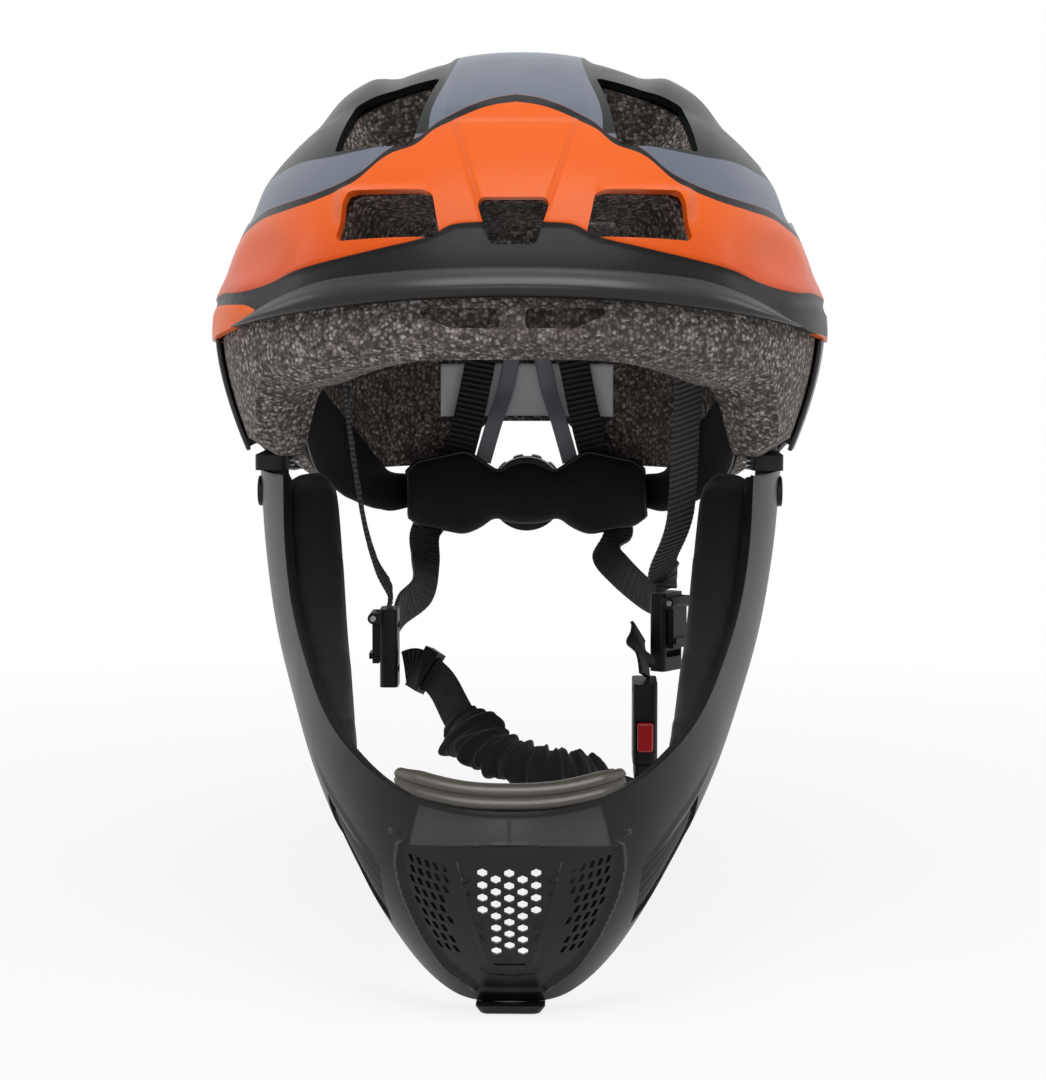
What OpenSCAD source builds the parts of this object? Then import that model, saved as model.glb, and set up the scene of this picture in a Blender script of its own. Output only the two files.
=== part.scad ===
// Full-face bicycle helmet with a detachable chin guard, as it is worn.
// The origin lies midway between the ears. X points to the wearer's left, Y to the back and Z up.

/* [Shell] */
// Half of the width of the shell, at its widest
shell_half_w = 101; // [98:1:104]
// From the ears forward to the front of the shell
shell_front = 119; // [115:1:123]
// From the ears back to the rear of the shell
shell_back = 138; // [134:1:142]
// From the ears up to the crown
shell_top = 110; // [107:0.5:113]
// Thickness of the painted shell
shell_wall = 2.4; // [1.8:0.1:2.8]
// Height of the shell's widest line
wide_z = 18; // [15:1:20]
// How far the crown lies behind the ears
crown_back = 10; // [4:1:14]
// How the sides close in towards the crown: 2 is an ellipse, and less is more sloping
side_power = 1.8; // [1.7:0.05:2]
// How much narrower the foot of the helmet is than its widest line, as a share
foot_tuck = 0.1; // [0.06:0.01:0.14]
// Fullness of the plan: 2 is an ellipse, and more is squarer
plan_power = 2.4; // [2.2:0.1:2.6]
// Height of the brow edge at the front
brow_z = 30; // [27:1:33]
// Height of the rolled brow lip at its middle
lip_h = 9; // [6:0.5:10]
// How far the rolled lip stands out
lip_out = 3.4; // [2:0.2:4.6]
// Thickness of the thin lower shell
lower_wall = 1.4; // [1:0.1:1.8]

/* [Liner] */
// Half of the room for the head, across
cavity_half_w = 74; // [72:1:76]
// Room for the head in front of the ears
cavity_front = 94; // [91:1:97]
// Room for the head behind the ears
cavity_back = 106; // [103:1:109]
// Room for the head above the ears
cavity_top = 88; // [85:1:90]
// Gap between the shells and the foam
liner_gap = 0.9; // [0.8:0.1:1.1]
// How far the foam reaches below the ear line at the sides and back
lobe_drop = 20.5; // [18:0.5:23]
// How far the foam reaches down behind the ears
nape_drop = 32; // [29:0.5:32]
// How far the foam reaches down at the middle of the back
notch_drop = 16; // [13:0.5:18]
// Height of the foam's front edge
liner_brow_z = 11.5; // [9:0.5:14]
// Thickness of the comfort pads
pad_thick = 5; // [4:0.5:6]

/* [Chin guard] */
// Half of the width of the chin guard at the ears
chin_half_w = 85.5; // [84:0.5:87]
// From the ears forward to the front of the chin guard
chin_reach = 157; // [152:1:162]
// From the tops of the arms down to the foot
chin_drop = 150; // [145:1:155]
// Thickness of the chin guard's moulded wall
chin_wall = 3; // [2.6:0.1:3.4]
// Depth of the sunk panel at the front of the chin
panel_sink = 0.8; // [0.4:0.1:1.2]
// Thickness of the cheek pads
cheek_thick = 21; // [18:0.5:22]
// Height of the clip caps on the arms
cap_h = 5; // [4:0.5:6]
// Diameter of the docking posts
post_d = 5.6; // [5:0.1:6]
// Length of a docking post in its socket
post_len = 12; // [9:0.5:13]
// Clearance round a docking post, each side
post_gap = 0.35; // [0.3:0.05:0.5]
// Across the flats of the grille's holes
mesh_hole = 2.8; // [2.4:0.1:3]
// Spacing of the grille's rows
mesh_pitch = 3.8; // [3.6:0.1:4.2]

/* [Fit system] */
// Turning radius of the dial
dial_r = 14; // [12:0.5:15]
// Depth of the dial
dial_h = 8; // [6:0.5:9]
// Pitch radius of the pinion
pinion_r = 4; // [3.6:0.2:4.4]
// Teeth on the pinion
pinion_teeth = 10; // [10:2:12]
// Height of a rack bar behind its teeth
rack_h = 2; // [1.8:0.1:2.2]
// Height of the middle of the rear cradle
cradle_z = -42.5; // [-45:0.5:-42]
// Distance of the cradle's back plate behind the ears
cradle_y = 91; // [89:1:93]
// Thickness of the cradle pad
cradle_pad_t = 6; // [5:0.5:7]
// Width of the head belts
belt_w = 12; // [9:0.5:13]

/* [Straps] */
// Width of the webbing
web_w = 14; // [12:0.5:15]
// Thickness of the webbing
web_t = 1.4; // [1.2:0.1:1.6]
// Length of the buckle's housing
buckle_len = 26; // [24:0.5:30]
// Width of the buckle
buckle_w = 22; // [20:0.5:24]
// Thickness of the buckle
buckle_t = 8; // [7:0.5:9]
// Height of a strap divider
divider_h = 26; // [24:0.5:28]
// Diameter of the hinge pins in the dividers
lever_pin_d = 2; // [1.6:0.1:2.4]

/* [Hidden] */
$fn = 48;

// Clearance between pieces of different bodies
run_gap = 0.35;
// Clearance between pieces that are fixed together
seat_gap = 0.1;

shell_size = [shell_half_w, shell_front, shell_back, shell_top];
cavity_size = [cavity_half_w, cavity_front, cavity_back, cavity_top];
foam_inset = shell_wall + liner_gap;
tuck_depth = wide_z + lobe_drop;
temple_edge_z = brow_z / 2;
rear_edge_z = -notch_drop + 8;

// Smooth step from 0 to 1
function smooth(u) = let(c = min(1, max(0, u))) c * c * (3 - 2 * c);
function unit(v) = v / norm(v);
function across(p, side) = [side * p[0], p[1], p[2]];
function inset(size, d) = [for (v = size) v - d];

// Point at t, from 0 to the last index, on a smooth curve through the points
function spline(pts, t) = let(
    last = len(pts) - 1,
    i = min(floor(t), last - 1),
    u = t - i,
    a = pts[max(i - 1, 0)],
    b = pts[i],
    c = pts[i + 1],
    d = pts[min(i + 2, last)])
    (2 * b + (c - a) * u + (2 * a - 5 * b + 4 * c - d) * u * u
        + (3 * b - a - 3 * c + d) * u * u * u) / 2;
function route(pts, steps) = [for (i = [0 : (len(pts) - 1) * steps]) spline(pts, i / steps)];

// A closed solid of triangles, with its faces turned the right way
module solid(points, faces) {
    parts = [for (f = faces) points[f[0]] * cross(points[f[1]], points[f[2]])];
    total = parts * [for (p = parts) 1];
    polyhedron(points, total < 0 ? faces : [for (f = faces) [f[0], f[2], f[1]]]);
}

// A curved plate between two grids of points
module plate(outer, inner) {
    n = len(outer);
    m = len(outer[0]);
    points = concat([for (r = outer) each r], [for (r = inner) each r]);
    function o(i, j) = i * m + j;
    function q(i, j) = n * m + i * m + j;
    faces = concat(
        [for (i = [0 : n - 2], j = [0 : m - 2]) each [
            [o(i, j), o(i, j + 1), o(i + 1, j + 1)], [o(i, j), o(i + 1, j + 1), o(i + 1, j)],
            [q(i, j), q(i + 1, j + 1), q(i, j + 1)], [q(i, j), q(i + 1, j), q(i + 1, j + 1)]]],
        [for (i = [0 : n - 2]) each [
            [o(i, 0), o(i + 1, 0), q(i + 1, 0)], [o(i, 0), q(i + 1, 0), q(i, 0)],
            [o(i + 1, m - 1), o(i, m - 1), q(i, m - 1)],
            [o(i + 1, m - 1), q(i, m - 1), q(i + 1, m - 1)]]],
        [for (j = [0 : m - 2]) each [
            [o(0, j + 1), o(0, j), q(0, j)], [o(0, j + 1), q(0, j), q(0, j + 1)],
            [o(n - 1, j), o(n - 1, j + 1), q(n - 1, j + 1)],
            [o(n - 1, j), q(n - 1, j + 1), q(n - 1, j)]]]);
    solid(points, faces);
}

// A closed bowl between two domes, with the top point of each
module bowl(outer, outer_top, inner, inner_top) {
    n = len(outer);
    m = len(outer[0]);
    points = concat([for (r = outer) each r], [for (r = inner) each r], [outer_top, inner_top]);
    top = 2 * n * m;
    function o(i, j) = (i % n) * m + j;
    function q(i, j) = n * m + (i % n) * m + j;
    faces = concat(
        [for (i = [0 : n - 1], j = [0 : m - 2]) each [
            [o(i, j), o(i, j + 1), o(i + 1, j + 1)], [o(i, j), o(i + 1, j + 1), o(i + 1, j)],
            [q(i, j), q(i + 1, j + 1), q(i, j + 1)], [q(i, j), q(i + 1, j), q(i + 1, j + 1)]]],
        [for (i = [0 : n - 1]) each [
            [o(i, m - 1), top, o(i + 1, m - 1)], [q(i, m - 1), q(i + 1, m - 1), top + 1],
            [o(i, 0), o(i + 1, 0), q(i + 1, 0)], [o(i, 0), q(i + 1, 0), q(i, 0)]]]);
    solid(points, faces);
}

// A bar through a row of rings, with a fan on each end
module skin(rings) {
    n = len(rings);
    m = len(rings[0]);
    ones = [for (k = [1 : m]) 1 / m];
    points = concat([for (r = rings) each r], [ones * rings[0], ones * rings[n - 1]]);
    faces = concat(
        [for (i = [0 : n - 2], j = [0 : m - 1]) let(k = (j + 1) % m) each [
            [i * m + j, i * m + k, (i + 1) * m + k],
            [i * m + j, (i + 1) * m + k, (i + 1) * m + j]]],
        [for (j = [0 : m - 1]) let(k = (j + 1) % m, e = (n - 1) * m) each [
            [n * m, k, j], [n * m + 1, e + j, e + k]]]);
    solid(points, faces);
}

// A flat strip along a path. broad gives the way across the strip at each point, and wide how
// much wider it is there.
module strip(path, broad, width, thick, wide = []) {
    last = len(path) - 1;
    skin([for (i = [0 : last]) let(
        along = unit(path[min(i + 1, last)] - path[max(i - 1, 0)]),
        raw = broad[i],
        w = unit(raw - (raw * along) * along) * width / 2 * (len(wide) > 0 ? wide[i] : 1),
        h = cross(along, unit(w)) * thick / 2)
        [path[i] - w - h, path[i] + w - h, path[i] + w + h, path[i] - w + h]]);
}

// The helmet's dome. The size is a list: half width, front, back, top.
function reach(a, size) = let(l = sin(a) < 0 ? size[1] : size[2])
    1 / pow(pow(abs(cos(a)) / size[0], plan_power) + pow(abs(sin(a)) / l, plan_power), 1 / plan_power);
function climb(z, size) = min(1, max(0, (z - wide_z) / (size[3] - wide_z)));
function girth(z, size, tuck) = z > wide_z
    ? sqrt(1 - pow(climb(z, size), side_power))
    : 1 - tuck * pow((wide_z - z) / tuck_depth, 1.6);
// How far the dome's slice at a height lies behind the ears
function lean(z, size) = crown_back * pow(climb(z, size), 2);
function dome(a, z, size, tuck) = let(r = reach(a, size) * girth(z, size, tuck))
    [r * cos(a), r * sin(a) + lean(z, size), z];
function dome_top(size) = [0, crown_back, size[3]];
// Place on the dome over a point of the plan
function dome_over(x, y, size) = let(
    back = y - crown_back * 0.9,
    share = min(1, norm([x, back]) / reach(atan2(back, x), size)))
    [x, y, wide_z + (size[3] - wide_z) * pow(1 - share * share, 1 / side_power)];
// Place on the front or back of the dome, at an x and a height
function dome_end(x, z, size, end) = let(
    g = girth(z, size, 0),
    l = end < 0 ? size[1] : size[2])
    [x, lean(z, size)
        + end * l * g * pow(1 - pow(abs(x) / (size[0] * g), plan_power), 1 / plan_power), z];
// Place on the side of the dome, at a y and a height
function dome_side(y, z, size, side) = let(
    g = girth(z, size, 0),
    back = y - lean(z, size),
    l = back < 0 ? size[1] : size[2])
    [side * size[0] * g * pow(1 - pow(abs(back) / (l * g), plan_power), 1 / plan_power), y, z];

// How far round to the front an angle lies: 1 is the front and -1 the back
function frontness(a) = -sin(a);
function brow_edge(a) = let(f = frontness(a)) f > 0
    ? temple_edge_z + (brow_z - temple_edge_z) * pow(f, 2.2)
    : temple_edge_z + (rear_edge_z - temple_edge_z) * pow(-f, 1.6);
lip_half_angle = 50;
function lip_share(a) = smooth((lip_half_angle + 6 - abs(a - 270)) / 30);
function shell_edge(a) = brow_edge(a) + lip_h * lip_share(a) + (lip_share(a) > 0 ? seat_gap : 0);
function liner_edge(a) = let(f = frontness(a), step_z = liner_brow_z - 9, off = abs(a - 90))
    f > 0.75 ? step_z + 9 * smooth((f - 0.75) / 0.25)
    : f > 0 ? -lobe_drop + (step_z + lobe_drop) * smooth((f - 0.53) / 0.22)
    : off > 30 ? -lobe_drop - (nape_drop - lobe_drop) * smooth((-f - 0.1) / 0.4)
    : -notch_drop - (nape_drop - notch_drop) * smooth((off - 7) / 9);

function dome_grid(size, tuck, steps, rings, edge) = [for (i = [0 : steps - 1])
    let(a = 360 * i / steps, z0 = edge(a))
    [for (j = [0 : rings - 1]) dome(a, z0 + (size[3] - z0) * sin(90 * j / rings), size, tuck)]];

// Corners of the vents, each an x and a height on the dome. All but the middle one come in pairs.
vent_middle = [[-8.3, 57], [8.3, 57], [5.2, 47.5], [-5.2, 47.5]];
vent_front = [[26, 59], [47, 59], [51, 48.5], [24, 49.5]];
vent_crown = [[27, 98], [33, 77], [54, 76], [50, 90]];
vent_back_top = [[14, 100], [12, 84], [36, 80], [33, 95]];
vent_back_mid = [[18, 76], [15, 64], [42, 61], [38, 72]];
vent_back_low = [[12, 47], [10, 32], [38, 29], [42, 43]];
// Corners of the vents over the ears, each a y and a height
vent_side = [[-26, 70], [-36, 56], [22, 56], [30, 69]];
vent_round = 2.2;
// Point inside the head that the vents run towards
vent_heart = [0, 4, 20];

module vent_tool(corners, grow) {
    hull()
        for (p = corners, t = [0.45, 1.12])
            translate(vent_heart + t * (p - vent_heart))
                sphere(vent_round + grow, $fn = 6);
}

module vent_tools(grow) {
    vent_tool([for (c = vent_middle) dome_end(c[0], c[1], shell_size, -1)], grow);
    for (side = [-1, 1]) {
        for (v = [vent_front, vent_crown])
            vent_tool([for (c = v) dome_end(side * c[0], c[1], shell_size, -1)], grow);
        for (v = [vent_back_top, vent_back_mid, vent_back_low])
            vent_tool([for (c = v) dome_end(side * c[0], c[1], shell_size, 1)], grow);
        vent_tool([for (c = vent_side) dome_side(c[0], c[1], shell_size, side)], grow);
    }
}

dome_steps = 48;
dome_rings = 10;

module outer_shell() {
    color([0.91, 0.38, 0.1])
        difference() {
            bowl(
                dome_grid(shell_size, foot_tuck, dome_steps, dome_rings, function (a) shell_edge(a)),
                dome_top(shell_size),
                dome_grid(inset(shell_size, shell_wall), foot_tuck, dome_steps, dome_rings,
                    function (a) shell_edge(a)),
                dome_top(inset(shell_size, shell_wall)));
            vent_tools(0);
        }
}

// The rolled lip under the front of the shell, from temple to temple
lip_section = [[-1, 0.3], [-0.2, 0], [0.6, 0.05], [1, 0.3], [0.9, 0.55], [0.45, 0.8], [0, 1], [-1, 1]];
module brow_lip() {
    steps = 30;
    color([0.1, 0.1, 0.1])
        skin([for (i = [0 : steps]) let(
            a = 270 + lip_half_angle * (2 * i / steps - 1),
            h = lip_h * lip_share(a))
            [for (c = lip_section) let(
                p = dome(a, brow_edge(a) + h * c[1], shell_size, foot_tuck),
                out = c[0] < 0 ? c[0] * shell_wall : c[0] * lip_out * (0.35 + 0.65 * lip_share(a)))
                p + out * [cos(a), sin(a), 0]]]);
}

// The thin shell that wraps the foam below the painted one
module lower_shell() {
    steps = 36;
    rows = 3;
    open_angle = lip_half_angle + 18;
    start = open_angle - 90;
    span = 360 - 2 * open_angle;
    function low(a) = liner_edge(a) + 1;
    function grid(d) = [for (i = [0 : steps]) let(a = start + span * i / steps, b = (a + 360) % 360)
        [for (j = [0 : rows]) let(top = brow_edge(b) - seat_gap, z = low(b) + (top - low(b)) * j / rows)
            dome(b, z, inset(shell_size, d), foot_tuck)]];
    color([0.23, 0.23, 0.25])
        difference() {
            plate(grid(shell_wall - lower_wall), grid(shell_wall));
            for (side = [-1, 1])
                socket_well(side);
        }
}

// Where the docking posts stand
post_x = (cavity_half_w + shell_half_w * (1 - foot_tuck) - shell_wall - 1.5) / 2;
post_y = -12;
socket_r = post_d / 2 + post_gap + 1.2;
arm_top_z = -lobe_drop - run_gap - cap_h;
chin_top_z = arm_top_z - 0.7;

module foam_liner() {
    color([0.2, 0.2, 0.21])
        difference() {
            bowl(
                dome_grid(inset(shell_size, foam_inset), foot_tuck, dome_steps, dome_rings,
                    function (a) liner_edge(a)),
                dome_top(inset(shell_size, foam_inset)),
                dome_grid(cavity_size, 0, dome_steps, dome_rings, function (a) liner_edge(a)),
                dome_top(cavity_size));
            vent_tools(0.8);
            for (side = [-1, 1]) {
                socket_well(side);
                brow_notch(side);
            }
        }
}

// The room for a socket, in the foam and in whatever wraps it that closely
module socket_well(side) {
    translate([side * post_x, post_y, -lobe_drop - 1])
        cylinder(r = socket_r + seat_gap, h = post_len + 4);
}

// The recess in the foam on each side of the middle, under the brow
module brow_notch(side) {
    hull()
        for (c = [[5, 0], [26, 0], [5, -3.4], [18, -3.4]], out = [0, 8])
            translate([side * c[0], -shell_front - out + 6, brow_z - 4.5 + c[1]])
                sphere(1.2, $fn = 8);
}

// How full a pad is, from its rim at 0 and 1 to its middle
function crown(u, v) = 0.3 + 0.7 * pow(max(0, sin(180 * u) * sin(180 * v)), 0.4);

// A soft pad on the wall of the head's room
module wall_pad(a0, a1, z0, z1, steps, rows) {
    function grid(d, full) = [for (i = [0 : steps]) let(a = a0 + (a1 - a0) * i / steps)
        [for (j = [0 : rows]) dome(a, z0 + (z1 - z0) * j / rows,
            inset(cavity_size, d + full * crown(i / steps, j / rows)), 0)]];
    plate(grid(liner_gap, 0), grid(liner_gap, pad_thick));
}

module brow_pad() {
    color([0.08, 0.08, 0.09])
        wall_pad(226, 314, liner_brow_z + 3.5, liner_brow_z + 20, 14, 4);
}

module side_pads() {
    color([0.08, 0.08, 0.09])
        for (a = [0, 180])
            wall_pad(a - 28, a + 28, 20, 44, 10, 4);
}

module crown_pads() {
    cols = 4;
    rows = 10;
    function grid(side, d, full) = [for (i = [0 : cols]) [for (j = [0 : rows]) let(
        x = side * (12 + 14 * i / cols), y = -34 + 68 * j / rows)
        dome_over(x, y, inset(cavity_size, d + full * crown(i / cols, j / rows)))]];
    color([0.08, 0.08, 0.09])
        for (side = [-1, 1])
            plate(grid(side, liner_gap, 0), grid(side, liner_gap, pad_thick));
}

// The blank label on the rear wall
module care_label() {
    half_w = 32;
    low = -14;
    high = 5.5;
    function grid(d) = [for (i = [0 : 8]) let(x = half_w * (i / 4 - 1))
        [for (j = [0 : 2]) dome_end(x, low + (high - low) * j / 2, inset(cavity_size, d), 1)]];
    color([0.85, 0.86, 0.87])
        plate(grid(0.8), grid(1.1));
}

// The socket in the foam that a docking post slides up into
module socket(side) {
    color([0.12, 0.12, 0.12])
        translate([side * post_x, post_y, -lobe_drop])
            difference() {
                cylinder(r = socket_r, h = post_len + 2);
                translate([0, 0, -1])
                    cylinder(d = post_d + 2 * post_gap, h = post_len + 1.6);
            }
}
module socket_left() { socket(1); }
module socket_right() { socket(-1); }

// The chin guard's surface: its upper edge, the handles that it bulges to, and its lower edge.
// The points run from the middle of the chin to an ear, at the size that they are drawn at.
chin_drawn = [85.5, 157, 150];
chin_upper = [[0, -152, -88], [17, -150, -87], [34, -142, -83], [47, -129, -75], [56, -113, -66],
    [63, -95, -54], [69, -78, -39], [73, -61, -21], [75, -46, 0]];
chin_handle = [[0, -163, -118], [26, -155, -117], [44, -138, -112], [57, -118, -100],
    [67, -96, -85], [75, -70, -68], [83, -48, -48], [89, -29, -24], [93, -14, 0]];
chin_lower = [[0, -137, -147], [16, -133, -145.7], [31, -121, -135], [43, -104, -118],
    [54, -82, -100], [64, -56, -80], [73, -28, -55], [79, -4, -27], [82, 12, 0]];
chin_stretch = [chin_half_w / chin_drawn[0], chin_reach / chin_drawn[1], chin_drop / chin_drawn[2]];
function fitted(p) = [p[0] * chin_stretch[0], p[1] * chin_stretch[1],
    p[2] * chin_stretch[2] + chin_top_z];
function both_sides(pts) = concat(
    [for (i = [len(pts) - 1 : -1 : 1]) across(fitted(pts[i]), -1)], [for (p = pts) fitted(p)]);
upper_line = both_sides(chin_upper);
handle_line = both_sides(chin_handle);
lower_line = both_sides(chin_lower);
chin_span = (len(upper_line) - 1) / 2;

// Point on the chin guard: s is -1 and 1 at the ears, v is 0 at the upper edge and 1 at the lower
function chin(s, v) = let(t = (min(1, max(-1, s)) + 1) * chin_span)
    (1 - v) * (1 - v) * spline(upper_line, t) + 2 * v * (1 - v) * spline(handle_line, t)
    + v * v * spline(lower_line, t);
function chin_out(s, v) = let(e = 0.01)
    unit(cross(chin(s + e, v) - chin(s - e, v), chin(s, v - e) - chin(s, v + e)));
// The same, at a depth under the surface
function chin_in(s, v, d) = chin(s, v) - d * chin_out(s, v);
function chin_grid(s0, s1, v0, v1, steps, rows, d) = [for (i = [0 : steps])
    [for (j = [0 : rows]) chin_in(s0 + (s1 - s0) * i / steps, v1 + (v0 - v1) * j / rows, d)]];

module chin_patch(s0, s1, v0, v1, steps, rows, d0, d1) {
    plate(chin_grid(s0, s1, v0, v1, steps, rows, d0), chin_grid(s0, s1, v0, v1, steps, rows, d1));
}

// A cutter through the wall, over four corners that are each an s and a v
module chin_tool(corners, radius) {
    hull()
        for (c = corners, d = [-5, chin_wall + 4])
            translate(chin_in(c[0], c[1], d))
                sphere(radius, $fn = 8);
}

// The front opening of the chin guard, half widths and heights at its top and bottom
grille_top_z = arm_top_z - 0.68 * chin_drop;
grille_low_z = arm_top_z - 0.9 * chin_drop;
grille_top_w = 15;
grille_low_w = 6;
module grille_outline(grow) {
    polygon([[-grille_top_w - grow, grille_top_z + grow], [grille_top_w + grow, grille_top_z + grow],
        [grille_low_w + grow, grille_low_z - grow], [-grille_low_w - grow, grille_low_z - grow]]);
}
module grille_prism(grow) {
    translate([0, -chin_reach + 40, 0])
        rotate([90, 0, 0])
            linear_extrude(60)
                grille_outline(grow);
}

louvre_s = [0.25, 0.42];
louvre_v = [0.45, 0.8];
// Outline of the sunk panel: half widths at its heights
panel_edge = [[0.19, 0.17], [0.25, 0.2], [0.35, 0.2], [0.5, 0.185], [0.7, 0.153], [0.83, 0.123],
    [0.92, 0.073]];
slot_v = [0.32, 0.42, 0.52, 0.62];
slot_s = [0.125, 0.145, 0.165];
button_s = 0.955;
button_v = 0.52;
button_r = 5;
button_depth = 5.6;

module chin_frame() {
    color([0.17, 0.16, 0.17])
        difference() {
            chin_patch(-1, 1, 0, 1, 44, 9, 0, chin_wall);
            chin_panel();
            grille_prism(0);
            for (side = [-1, 1]) {
                chin_tool([for (s = louvre_s, v = louvre_v) [side * s, v]], 0.6);
                for (v = slot_v, s = slot_s)
                    chin_patch(side * s, side * (s + 0.009), v, v + 0.05, 1, 1, -3, chin_wall + 3);
                chin_hole(side, button_r + run_gap);
            }
        }
}

// The space in front of the sunk panel
module chin_panel() {
    steps = 8;
    rows = len(panel_edge) - 1;
    function grid(d) = [for (i = [0 : steps]) [for (j = [rows : -1 : 0])
        chin_in(panel_edge[j][1] * (2 * i / steps - 1), panel_edge[j][0], d)]];
    plate(grid(-3), grid(panel_sink));
}

// A round hole through the arm where a release button sits
module chin_hole(side, radius) {
    translate(across(chin(button_s, button_v), side))
        rotate([0, 90, 0])
            translate([0, 0, -20])
                cylinder(r = radius, h = 40);
}

module chin_grille() {
    holes = floor((grille_top_z - grille_low_z) / mesh_pitch) - 1;
    col_step = mesh_pitch * 1.05;
    first = 1.2;
    color([0.14, 0.14, 0.15])
        difference() {
            intersection() {
                chin_patch(-0.14, 0.14, 0.15, 0.95, 8, 6, panel_sink + 0.3, chin_wall - 0.3);
                grille_prism(-0.2);
            }
            for (col = [-2 : 2], row = [0 : holes]) {
                z = grille_top_z - mesh_pitch * (row + first + (abs(col) % 2 == 1 ? 0.5 : 0));
                share = (grille_top_z - z) / (grille_top_z - grille_low_z);
                edge = grille_top_w + (grille_low_w - grille_top_w) * share;
                if (abs(col) * col_step + 0.6 * mesh_hole < edge && z > grille_low_z + 0.75 * mesh_hole)
                    translate([col * col_step, -chin_reach + 40, z])
                        rotate([90, 30, 0])
                            cylinder(d = mesh_hole * 1.15, h = 60, $fn = 6);
            }
        }
}

// The slatted cover in the side opening
module louvre(side) {
    s0 = side > 0 ? louvre_s[0] : -louvre_s[1];
    s1 = side > 0 ? louvre_s[1] : -louvre_s[0];
    v0 = louvre_v[0];
    v1 = louvre_v[1];
    color([0.08, 0.08, 0.09])
        difference() {
            chin_patch(s0, s1, v0, v1, 6, 4, 1, chin_wall - 0.2);
            for (k = [0 : 3]) {
                v = v0 + (v1 - v0) * (0.14 + 0.21 * k);
                chin_patch(s0 + 0.03, s1 - 0.03, v, v + 0.025, 3, 1, -1, chin_wall + 2);
            }
        }
}
module louvre_left() { louvre(1); }
module louvre_right() { louvre(-1); }

// The soft bumper with two ridges on the top edge of the chin
trim_s = 0.243;
trim_section = [[0.2, -2.6], [2.6, -3.2], [4.6, -1.6], [3.9, 0], [4.4, 1.6], [2.8, 3.6], [0.2, 4],
    [-2.4, 3.2], [-3.2, 1.4], [-2.6, 0], [-3.2, -1.6], [-2.2, -2.8]];
module chin_trim() {
    steps = 24;
    color([0.36, 0.34, 0.32])
        skin([for (i = [0 : steps]) let(
            s = trim_s * (2 * i / steps - 1),
            out = chin_out(s, 0.02),
            flat = unit([out[0], out[1], 0]),
            full = 0.65 + 0.35 * smooth(min(i, steps - i) / 3),
            seat = chin(s, 0) - flat * (chin_wall / 2) + [0, 0, 3.4])
            [for (c = trim_section) seat + full * (c[0] * flat + [0, 0, c[1]])]]);
}

// The padding inside an arm. It stays thick at its front edge and thins towards the chin.
cheek_s = [0.36, 0.985];
cheek_v = [0.04, 0.68];
function cheek_full(u, w) = (0.4 + 0.6 * smooth(1.1 * u))
    * (0.3 + 0.7 * pow(sin(90 * min(1, 3 * u)) * sin(90 * min(1, 12 * (1 - u))), 0.6))
    * (w < 0.5 ? 0.3 + 0.7 * pow(sin(180 * w), 0.5) : 0.78 + 0.22 * pow(sin(180 * w), 0.5));
button_room = 5.4;
// How much higher the pad's inner edge is than its outer one, at the ear
cheek_rise = 7;
module cheek_pad(side) {
    steps = 14;
    rows = 8;
    function grid(full) = [for (i = [0 : steps]) let(
        u = side > 0 ? i / steps : 1 - i / steps,
        s = side * (cheek_s[0] + (cheek_s[1] - cheek_s[0]) * u))
        [for (j = [0 : rows]) let(w = j / rows, deep = full * max(0.05, cheek_full(u, w)))
            chin_in(s, cheek_v[1] + (cheek_v[0] - cheek_v[1]) * w, chin_wall + 0.3 + deep)
                + [0, 0, cheek_rise * smooth((u - 0.6) / 0.3) * smooth((deep - 9.5) / 5)]]];
    color([0.07, 0.07, 0.08])
        difference() {
            plate(grid(0), grid(cheek_thick));
            translate(across(chin(button_s, button_v) - [chin_wall + button_room, 0, 0], side))
                rotate([0, side * 90, 0])
                    cylinder(r = button_r + 2, h = 20);
        }
}
module cheek_pad_left() { cheek_pad(1); }
module cheek_pad_right() { cheek_pad(-1); }

// The flat foot under the chin
foot_t = 2.4;
foot_size = [17.3, 12];
foot_flare = 2.8;
module chin_foot() {
    low = chin(0, 1);
    color([0.25, 0.24, 0.25])
        translate([0, low[1] + 1, low[2] - foot_t - seat_gap])
            hull() {
                linear_extrude(foot_t / 6)
                    rounded(foot_size, 2.4);
                translate([0, 0, foot_t * 5 / 6])
                    linear_extrude(foot_t / 6)
                        rounded(foot_size + [foot_flare, foot_flare / 2], 2.4);
            }
}

// The clip on the top of an arm: a cap with the docking post
clip_size = [10, 44];
module clip(side) {
    color([0.1, 0.1, 0.11])
        translate([side * post_x, post_y, 0]) {
            translate([0, 0, arm_top_z + cap_h / 2])
                linear_extrude(cap_h, center = true)
                    rounded(clip_size, 2);
            translate([0, 0, -lobe_drop - run_gap - 0.5])
                cylinder(d = post_d, h = post_len + 0.5);
        }
}
module rounded(size, r) {
    hull()
        for (x = [-1, 1], y = [-1, 1])
            translate([x * (size[0] / 2 - r), y * (size[1] / 2 - r)])
                circle(r);
}
module clip_left() { clip(1); }
module clip_right() { clip(-1); }

// The screws that hold the clips in the arms
module clip_screws() {
    color([0.6, 0.6, 0.62])
        for (side = [-1, 1], y = [-8, 8])
            translate([side * (post_x - 5 - 1.4), post_y + y, arm_top_z + cap_h / 2])
                rotate([0, side * 90, 0])
                    difference() {
                        cylinder(d = 3.4, h = 1.3);
                        translate([0, 0, -0.4])
                            cylinder(d = 1.6, h = 1, $fn = 6);
                    }
}

// The button that lets an arm go. It is pushed inwards.
module button(side) {
    face = chin(button_s, button_v);
    color([0.3, 0.3, 0.31])
        translate([side * (face[0] - button_depth), face[1], face[2]])
            rotate([0, side * 90, 0]) {
                cylinder(r = button_r, h = button_depth + 1);
                cylinder(r = button_r + 1.2, h = 1);
            }
}
module button_left() { button(1); }
module button_right() { button(-1); }

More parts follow.
